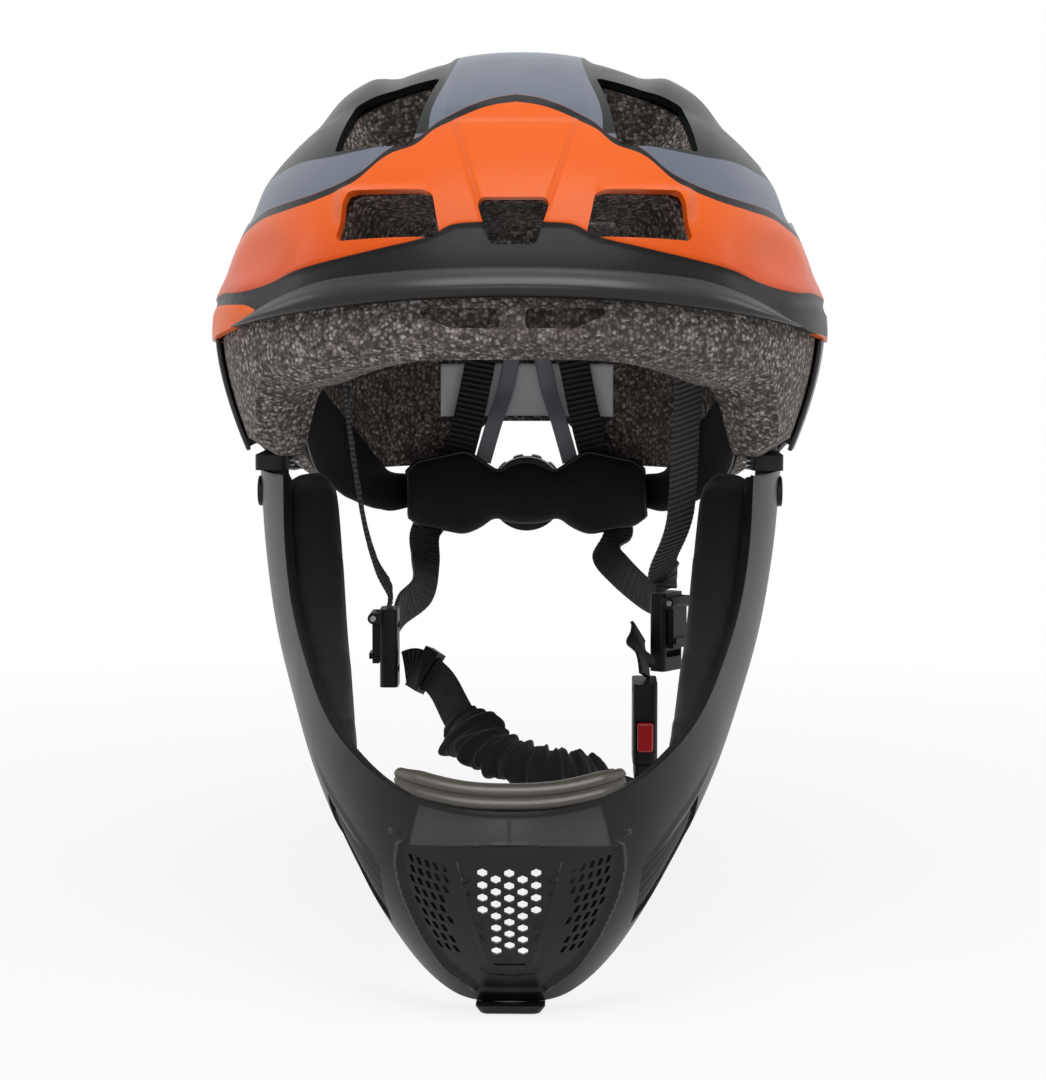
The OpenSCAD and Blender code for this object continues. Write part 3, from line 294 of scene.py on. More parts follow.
def shell_paint():
    paint = Finish("shell_paint")
    x, y, z = paint.parts(paint.place(1 / MM))
    wide = abs(x)
    direction = wide.maths("ARCTAN2", y * -1) / math.pi
    stripe, orange_foot, wing_top, grey_top = (border(paint, direction, heights)
                                               for heights in (STRIPE, ORANGE_FOOT, WING_TOP, GREY_TOP))
    crown_half = 26.5 - z.ease(84, 108) * 6.5
    above = (z - stripe).ease(-0.25, 0.25)
    near_stripe = 1 - abs(z - stripe + 1.3).ease(1.15, 1.45)
    grey = (wide - crown_half).ease(-0.2, 0.2) * (z - grey_top).ease(-0.25, 0.25)
    below = (orange_foot - z).ease(-0.25, 0.25)
    wing = (wing_top - z - (x > 0) * 9).ease(-0.25, 0.25)
    # The orange is painted lighter higher up and darker lower down: painted light from above, with a little
    # random tone.
    painted_top_light_and_tone = z.ease(22, 66) * 0.8 + paint.noise(9, 3) * 0.2
    orange = paint.blend(painted_top_light_and_tone, (0.60, 0.056, 0.007), (0.82, 0.128, 0.009))
    slate = paint.blend(paint.noise(22, 2).ease(0.35, 0.65), (0.122, 0.140, 0.178), (0.142, 0.160, 0.198))
    body = paint.blend(above, orange, paint.blend(grey, slate, (0.0036, 0.0058, 0.0046)))
    body = paint.blend(near_stripe, body, (0.0040, 0.0040, 0.0055))
    body = paint.blend(below, body, (0.0036, 0.0034, 0.0037))
    body = paint.blend(wing, body, (0.82, 0.125, 0.008))
    dust = paint.noise(60, 4, 0.6).ease(0.45, 0.75)
    return paint.finish(paint.noise(700, 2), depth=0.00008, strength=0.25, Base_Color=body,
                        Roughness=0.33 + dust * 0.07 + below * 0.06,
                        Coat_Weight=0.05, Coat_Roughness=0.20, Specular_IOR_Level=0.15)

SHELL_PAINT = shell_paint()
print("paint nodes:", len(SHELL_PAINT.node_tree.nodes))

# %% [markdown]
# ## Moulded plastics, metal and rubber
# The lip, the chin guard, the clips and the buckle are injection-moulded. Their surface has a fine even
# grain from the tool, catches broad soft highlights, and turns slightly glossier where hands rub it. One
# recipe covers them all, with the colour, the grain size and the gloss as values.

# %% A moulded plastic
def moulding(plastic, grain):
    """A slow cloud for the colour, the tool's grain, and where hands have rubbed."""
    return (plastic.noise(35, 4, 0.6).ease(0.35, 0.65), plastic.noise(grain, 1),
            plastic.noise(14, 3, 0.55).ease(0.45, 0.7))

def moulded(name, dark, light, rough, grain=1600, depth=0.00006, **more):
    plastic = Finish(name)
    cloud, grains, rubbed = moulding(plastic, grain)
    return plastic.finish(grains, depth=depth, strength=0.35, Base_Color=plastic.blend(cloud, dark, light),
                          Roughness=rough - rubbed * 0.06 + grains * 0.03, **more)

LIP_PLASTIC = moulded("lip_plastic", (0.0040, 0.0040, 0.0043), (0.0062, 0.0062, 0.0066), 0.30,
                      Specular_IOR_Level=0.40)
LOWER_PLASTIC = moulded("lower_plastic", (0.036, 0.034, 0.038), (0.048, 0.046, 0.050), 0.42,
                        Specular_IOR_Level=0.3)
BLACK_PLASTIC = moulded("black_plastic", (0.0055, 0.0055, 0.0060), (0.0090, 0.0090, 0.0095), 0.44,
                        Specular_IOR_Level=0.25)
CHIN_PLASTIC = moulded("chin_plastic", (0.0075, 0.0068, 0.0074), (0.0105, 0.0096, 0.0102), 0.38, 1300,
                       Specular_IOR_Level=0.26)
HANGER_PLASTIC = moulded("hanger_plastic", (0.235, 0.215, 0.250), (0.280, 0.260, 0.295), 0.45)
TRIM_RUBBER = moulded("trim_rubber", (0.058, 0.050, 0.040), (0.076, 0.067, 0.054), 0.34, 900,
                      Specular_IOR_Level=0.5)
RED_PLASTIC = moulded("red_plastic", (0.42, 0.010, 0.012), (0.50, 0.014, 0.016), 0.28, 900, 0.00003)
WHITE_ACETAL = moulded("pinion_plastic", (0.66, 0.66, 0.67), (0.72, 0.72, 0.73), 0.35)
STEEL = moulded("steel", (0.50, 0.50, 0.52), (0.58, 0.58, 0.60), 0.30, 2400, 0.00002, Metallic=1.0)

# %% [markdown]
# ## Bead foam
# The liner is expanded bead foam: small round beads pressed together until they share flat borders. A
# Voronoi pattern has just that form. Each cell gets its own shade, from charcoal to a pale grey pink,
# the borders are sunk a little, and some larger patches are darker, where the beads were packed less.

# %% Foam
def bead_foam():
    foam = Finish("foam")
    spot = foam.place()
    wobble = foam.node("ShaderNodeTexNoise", {"Vector": spot, "Scale": 400.0, "Detail": 1.0}, "Color")
    moved = foam.node("ShaderNodeVectorMath", {0: wobble, 1: (0.0008,) * 3, 2: spot},
                      operation="MULTIPLY_ADD")
    bead, away = (foam.node("ShaderNodeTexVoronoi", {"Vector": moved, "Scale": 820.0}, take, feature="F1")
                  for take in ("Color", "Distance"))
    shade = foam.parts(bead)[0]
    gap = away.ease(0.30, 0.75)
    tone = foam.node("ShaderNodeValToRGB", {"Fac": shade}, stops=[
        (0.0, (0.048, 0.040, 0.036)), (0.30, (0.125, 0.103, 0.092)), (0.60, (0.235, 0.198, 0.178)),
        (0.86, (0.370, 0.322, 0.294)), (1.0, (0.54, 0.485, 0.45))])
    tone = foam.blend(gap * 0.7, tone, (0.030, 0.024, 0.021))
    tone = foam.blend(foam.noise(26, 3, 0.6).ease(0.42, 0.68) * 0.3, tone, (0.070, 0.056, 0.049))
    return foam.finish(1 - gap * 0.8 - shade * 0.2, depth=0.0005, strength=0.7, Base_Color=tone,
                       Roughness=0.72 + gap * 0.12, Specular_IOR_Level=0.3)

FOAM = bead_foam()

# %% [markdown]
# ## Cloth and webbing
# The pads are covered in a fine black knit. The straps are woven polyester: ribs run across them at an
# even spacing, and each rib's crest is painted lighter, as a painted highlight. On the knit the pattern
# follows the object's coordinates, and on the webbing it follows the strap's own map, which is in
# millimetres across and along it.

# %% Knitted cover
KNIT_PITCH = 0.9

def knit(name, dark, light):
    cloth = Finish(name)
    x, y, z = cloth.parts(cloth.place(2000 * math.pi / KNIT_PITCH))
    weave = (z + y * 0.6 + (x * 0.5).sine() * 0.6).sine() * (x + y * 0.8).sine()
    fuzz = cloth.noise(1500, 2)
    colour = cloth.blend(weave.ease(-0.6, 1.0) * 0.7 + fuzz * 0.3, dark, light)
    worn = cloth.noise(18, 3, 0.6).ease(0.5, 0.75)
    return cloth.finish(weave * 0.5 + fuzz * 0.6, depth=0.00012, strength=0.35, Base_Color=colour,
                        Roughness=0.84 + worn * 0.08, Sheen_Weight=0.12, Sheen_Roughness=0.5,
                        Specular_IOR_Level=0.25)

PAD_FABRIC = knit("pad_fabric", (0.0055, 0.0052, 0.0054), (0.0100, 0.0095, 0.0098))

# %% Ribbed webbing: the spacing of its ribs and threads, in millimetres
RIB, THREAD = 2.0, 0.55

def webbing(name, pitch, light):
    strap = Finish(name)
    across, along, _ = strap.parts(strap.place(source="UV"))
    rib = (along * (2 * math.pi / pitch)).sine()
    thread = (across * (2 * math.pi / THREAD) + rib * 0.8).sine()
    fuzz = strap.noise(1800, 2)
    # Each rib's crest is painted lighter, a painted highlight; the threads and fuzz add the weave's own tone.
    colour = strap.blend(rib.ease(0.35, 1.0) * 0.75 + thread.ease(0, 1) * 0.08 + fuzz * 0.12,
                         (0.0055, 0.0055, 0.0060), light)
    return strap.finish(rib * 0.8 + thread * 0.2 + fuzz * 0.2, depth=0.00035, strength=0.8,
                        Base_Color=colour, Roughness=0.62 + fuzz * 0.12, Specular_IOR_Level=0.4)

# The last colour is what the rib crests are painted towards: a painted highlight, brighter on this webbing
# than on the plain one.
WEBBING = webbing("webbing", RIB, (0.105, 0.102, 0.100))
WEBBING_PLAIN = webbing("webbing_plain", 1.0, (0.022, 0.021, 0.022))

# %% Label paper
def label_paper():
    paper = Finish("label_paper")
    fibre = paper.noise(900, 3)
    age = paper.noise(30, 3, 0.6).ease(0.35, 0.7)
    return paper.finish(fibre, depth=0.00004, strength=0.3, Roughness=0.55 + fibre * 0.1,
                        Base_Color=paper.blend(age, (0.86, 0.87, 0.89), (0.76, 0.77, 0.79)))

LABEL_PAPER = label_paper()
print("materials:", len(bpy.data.materials))

# %% [markdown]
# ## Tools for the meshes
# Most of the helmet is sheet-like: a skin with a smooth bend. A flat grid from bmesh is bent into place
# by a function of two numbers, u across and v along, which is how a sheet is drawn over a former. Where
# the sheet closes on itself, its doubled edge is merged. Solidify then gives it its wall.

# %% Bend a grid into a skin
def skin(cols, rows, place, cover=None, close_ends=False):
    """A grid of cols by rows squares. place(u, v) bends it, in millimetres, and cover(u, v) is its map."""
    bm = bmesh.new()
    bmesh.ops.create_grid(bm, x_segments=cols, y_segments=rows, size=0.5)
    chart = bm.loops.layers.uv.new("UVMap")
    if cover:
        for face in bm.faces:
            for corner in face.loops:
                spot = corner.vert.co
                corner[chart].uv = cover(spot.x + 0.5, spot.y + 0.5)
    for vert in bm.verts:
        vert.co = Vector(place(vert.co.x + 0.5, vert.co.y + 0.5)) * MM
    bmesh.ops.remove_doubles(bm, verts=bm.verts[:], dist=2e-6)
    if close_ends:
        bmesh.ops.holes_fill(bm, edges=[edge for edge in bm.edges if edge.is_boundary], sides=0)
    bmesh.ops.recalc_face_normals(bm, faces=bm.faces[:])
    return bm

# %% Turn a bmesh into a piece that rides on its body
pieces_made = {}

def piece(name, bm, material, body=None, nodes=(), sharp=40, outwards=None):
    """A piece in its material's slot. Its faces are turned away from outwards."""
    if outwards is not None:
        middle = Vector(outwards) * MM
        score = sum((face.calc_center_median() - middle).dot(face.normal) * face.calc_area()
                    for face in bm.faces)
        if score < 0:
            bmesh.ops.reverse_faces(bm, faces=bm.faces[:])
    mesh = bpy.data.meshes.new(name)
    bm.to_mesh(mesh)
    bm.free()
    mesh.shade_smooth()
    mesh.set_sharp_from_angle(angle=math.radians(sharp))
    mesh.materials.append(material)
    made = bpy.data.objects.new(name, mesh)
    bpy.context.scene.collection.objects.link(made)
    if nodes:
        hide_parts(*nodes)
    if body:
        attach(made, body)
    pieces_made[name] = len(mesh.polygons)
    return made

# %% Modifiers, and how they are applied
def settle(made, sharp=40):
    """Applies what is on a piece's modifier stack."""
    bpy.context.view_layer.update()
    graph = bpy.context.evaluated_depsgraph_get()
    mesh = bpy.data.meshes.new_from_object(made.evaluated_get(graph))
    made.modifiers.clear()
    made.data = mesh
    if sharp:
        mesh.set_sharp_from_angle(angle=math.radians(sharp))

def wall(made, thickness, offset=-1.0):
    """Gives a skin its wall, inwards unless told otherwise."""
    solid = made.modifiers.new("wall", "SOLIDIFY")
    solid.thickness = thickness * MM
    solid.offset = offset
    solid.use_even_offset = True

def round_edges(made, width, angle):
    bevel = made.modifiers.new("round", "BEVEL")
    bevel.width = width * MM
    bevel.segments = 2
    bevel.limit_method = "ANGLE"
    bevel.angle_limit = math.radians(angle)
    return bevel

# %% Cutters: pegs and rounded blocks, and cutting one piece with another
def join(whole, one):
    """Adds one bmesh to the whole and frees it."""
    held = bpy.data.meshes.new("held")
    one.to_mesh(held)
    one.free()
    whole.from_mesh(held)
    bpy.data.meshes.remove(held)

def hull_of(whole, points, radius, rounds=1):
    """Adds to whole the convex hull of small balls at the points."""
    one = bmesh.new()
    for at in points:
        bmesh.ops.create_icosphere(one, subdivisions=rounds, radius=radius * MM,
                                   matrix=Matrix.Translation(at * MM))
    hull = bmesh.ops.convex_hull(one, input=one.verts[:])
    loose = [g for g in hull["geom_interior"] + hull["geom_unused"] if isinstance(g, bmesh.types.BMVert)]
    bmesh.ops.delete(one, geom=list(set(loose)), context="VERTS")
    join(whole, one)

SIDEWAYS, FORWARDS = Matrix.Rotation(math.pi / 2, 4, "Y"), Matrix.Rotation(math.pi / 2, 4, "X")

def peg(whole, at, radius, depth, corners=40, turned=SIDEWAYS):
    """Adds to whole a straight peg round the point, for cutting a hole."""
    bmesh.ops.create_cone(whole, cap_ends=True, segments=corners, radius1=radius * MM, radius2=radius * MM,
                          depth=depth * MM, matrix=Matrix.Translation(at * MM) @ turned)

def cut(made, cutter_bm):
    mesh = bpy.data.meshes.new("cutter")
    bmesh.ops.recalc_face_normals(cutter_bm, faces=cutter_bm.faces[:])
    cutter_bm.to_mesh(mesh)
    cutter_bm.free()
    cutter = bpy.data.objects.new("cutter", mesh)
    bpy.context.scene.collection.objects.link(cutter)
    knife = made.modifiers.new("cut", "BOOLEAN")
    knife.operation = "DIFFERENCE"
    knife.solver = "EXACT"
    knife.object = cutter
    settle(made)
    bpy.data.objects.remove(cutter)

# %% Finer copies of hard CAD parts
def refined(nodes, material, body, width):
    """Copies of CAD parts with loose triangles merged, flats joined and edges rounded by the width."""
    for node in nodes.split():
        bm = bmesh.new()
        bm.from_mesh(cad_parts[node].data)
        bmesh.ops.remove_doubles(bm, verts=bm.verts[:], dist=1e-6)
        bmesh.ops.dissolve_limit(bm, angle_limit=math.radians(1.5), verts=bm.verts[:], edges=bm.edges[:])
        made = piece("fine_" + node, bm, material, body, [node], 35)
        round_edges(made, width, 35).harden_normals = True

# %% Curves through points, and smooth steps
SIDES = ((1, "left"), (-1, "right"))

def spline(points, t):
    last = len(points) - 1
    i = max(0, min(int(math.floor(t)), last - 1))
    u = t - i
    a, b, c, d = (Vector(points[k]) for k in (max(i - 1, 0), i, i + 1, min(i + 2, last)))
    return (2 * b + (c - a) * u + (2 * a - 5 * b + 4 * c - d) * u ** 2
            + (3 * b - a - 3 * c + d) * u ** 3) / 2

def on_ring(section, v):
    """The point at v, from 0 to 1, round a closed section of (out, up) pairs."""
    ring = [Vector((*c, 0)) for c in section]
    return spline(ring + [ring[0]], (v % 1.0) * len(ring))

def lookup(x, table):
    """The value at x on a line through a table of pairs."""
    if x <= table[0][0]:
        return table[0][1]
    for (x0, y0), (x1, y1) in zip(table, table[1:]):
        if x <= x1:
            return y0 + (y1 - y0) * (x - x0) / (x1 - x0)
    return table[-1][1]

def ease(value, low=0.0, high=1.0):
    share = min(1.0, max(0.0, (value - low) / (high - low)))
    return share * share * (3 - 2 * share)

def across(p, side):
    return Vector((side * p[0], p[1], p[2]))

# %% [markdown]
# ## The dome that shell and foam share
# The shell and the foam are drawn over one former, so their surfaces follow one rule: a plan that is a
# rounded rectangle, narrowing upwards to the crown. The same rule and the same sizes are in the CAD, so
# the fine skins lie exactly where the CAD solids are.

# %% The dome's rule
SHELL = (101, 119, 138, 110)
CAVITY = (74, 94, 106, 88)
WIDE_Z, CROWN_BACK, SIDE_POWER, PLAN_POWER, FOOT_TUCK = 18, 10, 1.8, 2.4, 0.1
BROW_Z, LIP_H, LIP_OUT, SHELL_WALL, LINER_GAP = 30, 9, 3.4, 2.4, 0.9
LOBE_DROP, NAPE_DROP, NOTCH_DROP, LINER_BROW_Z = 20.5, 32, 16, 11.5
TUCK_DEPTH = WIDE_Z + LOBE_DROP
LIP_HALF_ANGLE = 50

def inset(size, d):
    return tuple(v - d for v in size)

def climb(z, size):
    """The share of the way from the widest height up to the crown."""
    return min(1.0, max(0.0, (z - WIDE_Z) / (size[3] - WIDE_Z)))

def girth(z, size, tuck):
    if z > WIDE_Z:
        return math.sqrt(max(0.0, 1 - climb(z, size) ** SIDE_POWER))
    return 1 - tuck * ((WIDE_Z - z) / TUCK_DEPTH) ** 1.6

def lean(z, size):
    return CROWN_BACK * climb(z, size) ** 2

def reach(a, size):
    """How far the widest plan reaches in the direction a."""
    length = size[1] if math.sin(a) < 0 else size[2]
    return ((abs(math.cos(a)) / size[0]) ** PLAN_POWER
            + (abs(math.sin(a)) / length) ** PLAN_POWER) ** (-1 / PLAN_POWER)

def dome(degrees, z, size, tuck):
    a = math.radians(degrees)
    r = reach(a, size) * girth(z, size, tuck)
    return Vector((r * math.cos(a), r * math.sin(a) + lean(z, size), z))

def rounded(share):
    """How far the plan still reaches one way, as a share, at this share of its reach the other way."""
    return max(0.0, 1 - abs(share) ** PLAN_POWER) ** (1 / PLAN_POWER)

def dome_end(x, z, size, end):
    g = girth(z, size, 0)
    length = size[1] if end < 0 else size[2]
    return Vector((x, lean(z, size) + end * length * g * rounded(x / (size[0] * g)), z))

def dome_side(y, z, size, side):
    g = girth(z, size, 0)
    back = y - lean(z, size)
    length = size[1] if back < 0 else size[2]
    return Vector((side * size[0] * g * rounded(back / (length * g)), y, z))

# %% The edges of shell and foam, by direction
def frontness(a):
    return -math.sin(math.radians(a))

def brow_edge(a):
    f = frontness(a)
    if f > 0:
        return BROW_Z / 2 + BROW_Z / 2 * f ** 2.2
    return BROW_Z / 2 + (-NOTCH_DROP + 8 - BROW_Z / 2) * (-f) ** 1.6

def lip_share(a):
    return ease((LIP_HALF_ANGLE + 6 - abs(a - 270)) / 30)

def shell_edge(a):
    return brow_edge(a) + LIP_H * lip_share(a)

def liner_edge(a):
    f, step_z, off = frontness(a), LINER_BROW_Z - 9, abs(a - 90)
    if f > 0.75:
        return step_z + 9 * ease((f - 0.75) / 0.25)
    if f > 0:
        return -LOBE_DROP + (step_z + LOBE_DROP) * ease((f - 0.53) / 0.22)
    if off > 30:
        return -LOBE_DROP - (NAPE_DROP - LOBE_DROP) * ease((-f - 0.1) / 0.4)
    return -NOTCH_DROP - (NAPE_DROP - NOTCH_DROP) * ease((off - 7) / 9)

# %% [markdown]
# ## Vents
# Air enters over the brow and leaves at the rear. Each vent is cut as a tunnel that runs towards one
# point inside the head, so its walls slope as the moulding tool needs. The cutters are rounded blocks:
# small balls at the corners of each vent, inside and outside, wrapped by a convex hull.

# %% Vent corners: an x and a height, or a y and a height over the ears
VENT_MIDDLE = [(-8.3, 57), (8.3, 57), (5.2, 47.5), (-5.2, 47.5)]
VENTS_AHEAD = [[(26, 59), (47, 59), (51, 48.5), (24, 49.5)], [(27, 98), (33, 77), (54, 76), (50, 90)]]
VENTS_BEHIND = [[(14, 100), (12, 84), (36, 80), (33, 95)], [(18, 76), (15, 64), (42, 61), (38, 72)],
                [(12, 47), (10, 32), (38, 29), (42, 43)]]
VENT_SIDE = [(-26, 70), (-36, 56), (22, 56), (30, 69)]
VENT_HEART = Vector((0, 4, 20))

def vent_cutters(inner, outer, radius):
    """Blocks at all the vents, between two shares of the way from the heart to the shell."""
    groups = [[dome_end(x, z, SHELL, -1) for x, z in VENT_MIDDLE]]
    for side in (-1, 1):
        groups += [[dome_end(side * x, z, SHELL, -1) for x, z in vent] for vent in VENTS_AHEAD]
        groups += [[dome_end(side * x, z, SHELL, 1) for x, z in vent] for vent in VENTS_BEHIND]
        groups.append([dome_side(y, z, SHELL, side) for y, z in VENT_SIDE])
    whole = bmesh.new()
    for corners in groups:
        hull_of(whole, [VENT_HEART + t * (corner - VENT_HEART) for corner in corners for t in (inner, outer)],
                radius, 2)
    return whole

# %% [markdown]
# ## Outer shell
# The face of the shell isn't a plain dome. A tapering facet stands proud down the middle, a sharp hood
# juts over each front vent, the crown band is raised between the top vents, a rounded corner runs beside
# them, and the black brow band lies slightly lower than the paint. The skin is pushed out or in by a
# small amount at each point, with smooth steps a millimetre or two wide. The grid's columns stand closer
# together at the front, where these forms are.

# %% How far the shell's skin stands out at a point, in millimetres
def face_relief(x, y, z):
    half = lookup(z, [(46, 6), (58, 9.6), (84, 18)])
    facet = (1 - ease(x, half - 0.4, half + 1.8)) * ease(z, 44, 60) * (1 - ease(z, 82, 85))
    hood = ease(-z, -63.8, -59.8) * ease(z, 50, 58) * ease(x, 24, 27) * (1 - ease(x, 50, 55))
    turn = math.degrees(math.atan2(x, -y))
    temple = 1 - ease(math.hypot((turn - 50) / 12, (z - 43) / 8), 0.1, 1.3)
    foot = lookup(turn, ORANGE_FOOT)
    band = (1 - ease(z - foot, -0.9, 0.5)) * ease(z - lookup(turn, WING_TOP), -0.5, 0.8)
    return 1.7 * facet + 3.4 * hood - 1.6 * temple - 0.8 * band

def carved(p):
    x, y, z = abs(p.x), p.y, p.z
    crown_band = max(ease(z, 84, 88), ease(z, 60, 80) * ease(y, 20, 40)) * (1 - ease(x, 20, 24))
    corner = (1 - ease(math.hypot((z - 96) / 13, (y - 4) / 60), 0.15, 1.0)) * ease(x, 38, 47)
    waist = (1 - ease(abs(z - 47), 8, 20)) * ease(x, 62, 84)
    return 1.15 * crown_band + 3.8 * corner - 1.8 * waist + ease(-y, -25, 0) * face_relief(x, y, z)

# %% Make the shell
def shell_place(u, v):
    a = 360 * (u - 0.45 * math.sin(2 * math.pi * (u - 0.75)) / (2 * math.pi))
    z0 = shell_edge(a)
    p = dome(a, z0 + (SHELL[3] - z0) * math.sin(math.radians(90 * v)), SHELL, FOOT_TUCK)
    return p + (p - VENT_HEART).normalized() * carved(p) * ease(1 - v, 0.0, 0.05)

detail = 1.0
bm = skin(int(420 * detail), int(110 * detail), shell_place)
painted_shell = piece("painted_shell", bm, SHELL_PAINT, "helmet", ["outer_shell"], outwards=(0, 0, 20))
wall(painted_shell, SHELL_WALL)
settle(painted_shell)
cut(painted_shell, vent_cutters(0.86, 1.12, 2.2))
through, at, _, _ = painted_shell.ray_cast((0, -0.3, 0.052), (0, 1, 0))
print("painted shell faces:", len(painted_shell.data.polygons))
print("middle vent open:", not through or at.y > 0)

# %% [markdown]
# ## Brow lip
# A separate black moulding closes the shell's front edge. It rolls outwards, so it carries one long soft
# highlight over the brow. Its section is a small rounded beak, swept from temple to temple and shrinking
# to nothing at its ends.

# %% Make the lip
LIP_SECTION = [(-1, 0.3), (-0.2, 0), (0.6, 0.05), (1, 0.3), (0.9, 0.55), (0.45, 0.8), (0, 1), (-1, 1)]

def lip_place(u, v):
    a = 270 + LIP_HALF_ANGLE * (2 * u - 1)
    c = on_ring(LIP_SECTION, v)
    p = dome(a, brow_edge(a) + LIP_H * lip_share(a) * c[1], SHELL, FOOT_TUCK)
    out = c[0] * SHELL_WALL if c[0] < 0 else c[0] * LIP_OUT * (0.35 + 0.65 * lip_share(a))
    return p + out * Vector((math.cos(math.radians(a)), math.sin(math.radians(a)), 0))

piece("brow_roll", skin(120, 32, lip_place, close_ends=True), LIP_PLASTIC, "helmet", ["brow_lip"], 50)
print("brow roll faces:", pieces_made["brow_roll"])

# %% [markdown]
# ## Lower wrap
# Below the paint a thin dark sheet wraps the foam at the sides and the back. It is the same dome, a
# little smaller, between two edges.

# %% Make the lower wrap
WRAP_FROM = LIP_HALF_ANGLE + 18

def wrap_place(u, v):
    a = (WRAP_FROM - 90 + (360 - 2 * WRAP_FROM) * u) % 360
    low = liner_edge(a) + 1
    return dome(a, low + (brow_edge(a) - 0.1 - low) * v, inset(SHELL, 1.0), FOOT_TUCK)

lower_wrap = piece("lower_wrap", skin(160, 14, wrap_place), LOWER_PLASTIC, "helmet", ["lower_shell"],
                   outwards=(0, 0, 0))
wall(lower_wrap, 1.4)
round_edges(lower_wrap, 0.4, 60)
print("lower wrap faces:", pieces_made["lower_wrap"])

# %% [markdown]
# ## Foam liner
# The foam is one thick moulding. From the front its edge shows as a speckled band with a chamfer under
# it, and deep lobes at the temples. The skin starts at the crown, goes down the outside, turns over the
# chamfer at the edge, and comes back up the inside, so one bent grid makes the closed shape.

# %% Make the foam
CHAMFER = 5.5

def foam_place(u, v):
    a = 360 * u
    outside = inset(SHELL, SHELL_WALL + LINER_GAP)
    low = liner_edge(a)
    if v <= 0.5:
        up = math.sin(math.radians(90 * (1 - v / 0.5)))
        z0 = low + CHAMFER
        return dome(a, z0 + (outside[3] - z0) * up, outside, FOOT_TUCK)
    if v <= 0.62:
        share = (v - 0.5) / 0.12
        p = dome(a, low + CHAMFER, outside, FOOT_TUCK)
        q = dome(a, low, inset(outside, 7), FOOT_TUCK)
        r = dome(a, low, CAVITY, 0)
        if share <= 2 / 3 + 0.001:
            return p.lerp(q, min(1.0, share * 1.5))
        return q.lerp(r, (share - 2 / 3) * 3)
    up = math.sin(math.radians(90 * (v - 0.62) / 0.38))
    return dome(a, low + (CAVITY[3] - low) * up, CAVITY, 0)

bead_liner = piece("bead_liner", skin(int(264 * detail), int(100 * detail), foam_place), FOAM, "helmet",
                   ["foam_liner"], 28)
cut(bead_liner, vent_cutters(0.62, 1.06, 3.0))

# %% Pockets in the foam: two recesses under the brow, and the wells of the two sockets
pockets = bmesh.new()
for side, _ in SIDES[::-1]:
    hull_of(pockets, [Vector((side * x, -SHELL[1] - out + 6, BROW_Z - 4.5 + dz))
                      for x, dz in ((5, 0), (26, 0), (5, -3.4), (18, -3.4)) for out in (-3, 8)], 1.2, 2)
    peg(pockets, Vector((side * 80.5, -12, -LOBE_DROP - 1 + 8)), 4.5, 16, turned=Matrix.Identity(4))
cut(bead_liner, pockets)
print("bead liner faces:", len(bead_liner.data.polygons))

# %% [markdown]
# ## Comfort pads
# Soft foam covered in knit, stuck inside the bead foam. Each one follows the wall, is fullest in its
# middle and thin at its welded rim. The shape is made with one closed bent grid and then swelled a little
# by a short cloth simulation with air pressure inside, which gives it the small unevenness of a real pad.

# %% Swell a pad with a short simulation
VOXEL, AIR_PRESSURE, CLOTH_FRAMES = 4, 4.0, 12

def swell(made, cap):
    """The pad shrinks a little, is remeshed, swells as cloth with air inside, and is capped."""
    bm = bmesh.new()
    bm.from_mesh(made.data)
    bm.normal_update()
    for vert in bm.verts:
        vert.co -= vert.normal * cap * 0.5 * MM
    bm.to_mesh(made.data)
    bm.free()
    grain = made.modifiers.new("grain", "REMESH")
    grain.mode = "VOXEL"
    grain.voxel_size = VOXEL * MM
    settle(made, None)
    rest = [v.co.copy() for v in made.data.vertices]
    cloth = made.modifiers.new("cloth", "CLOTH")
    cloth.settings.quality = 4
    cloth.settings.mass = 0.2
    cloth.settings.use_pressure = True
    cloth.settings.uniform_pressure_force = AIR_PRESSURE
    cloth.settings.effector_weights.gravity = 0
    cloth.collision_settings.use_collision = False
    for number in range(1, CLOTH_FRAMES + 1):
        bpy.context.scene.frame_set(number)
    settle(made, None)
    bpy.context.scene.frame_set(1)
    for vert, start in zip(made.data.vertices, rest):
        move = vert.co - start
        if move.length > cap * MM:
            vert.co = start + move.normalized() * cap * MM
    made.data.shade_smooth()
    finer = made.modifiers.new("finer", "SUBSURF")
    finer.levels = finer.render_levels = 1

# %% A pad on the foam's inner wall
PAD_DEEP = 5

def fullness(u, v):
    return 0.3 + 0.7 * max(0.0, math.sin(math.pi * u) * math.sin(math.pi * v)) ** 0.4

def pad_skin(cols, rows, lower, upper):
    """A closed pad between two surfaces that meet near its rim."""
    bm = skin(cols, rows, upper)
    join(bm, skin(cols, rows, lower))
    bmesh.ops.bridge_loops(bm, edges=[edge for edge in bm.edges if edge.is_boundary])
    bmesh.ops.recalc_face_normals(bm, faces=bm.faces[:])
    return bm

def wall_pad(name, node, cols, rows, place):
    """place(u, v, size) is a point of the pad on a dome of that size."""
    bm = pad_skin(cols, rows, lambda u, v: place(u, v, inset(CAVITY, LINER_GAP)),
                  lambda u, v: place(u, v, inset(CAVITY, LINER_GAP + PAD_DEEP * fullness(u, v))))
    made = piece(name, bm, PAD_FABRIC, "helmet", [node], 60)
    swell(made, 0.8)

for name, node, a0, a1, z0, z1, cols, rows in (
        ("brow_cushion", "brow_pad", 226, 314, LINER_BROW_Z + 3.5, LINER_BROW_Z + 20, 40, 10),
        ("side_cushion_left", "side_pads", -28, 28, 20, 44, 30, 12),
        ("side_cushion_right", "side_pads", 152, 208, 20, 44, 30, 12)):
    wall_pad(name, node, cols, rows,
             lambda u, v, size: dome(a0 + (a1 - a0) * u, z0 + (z1 - z0) * v, size, 0))

# %% Two crown pads
def dome_over(x, y, size):
    back = y - CROWN_BACK * 0.9
    share = min(1.0, math.hypot(x, back) / reach(math.atan2(back, x), size))
    return Vector((x, y, WIDE_Z + (size[3] - WIDE_Z) * (1 - share * share) ** (1 / SIDE_POWER)))

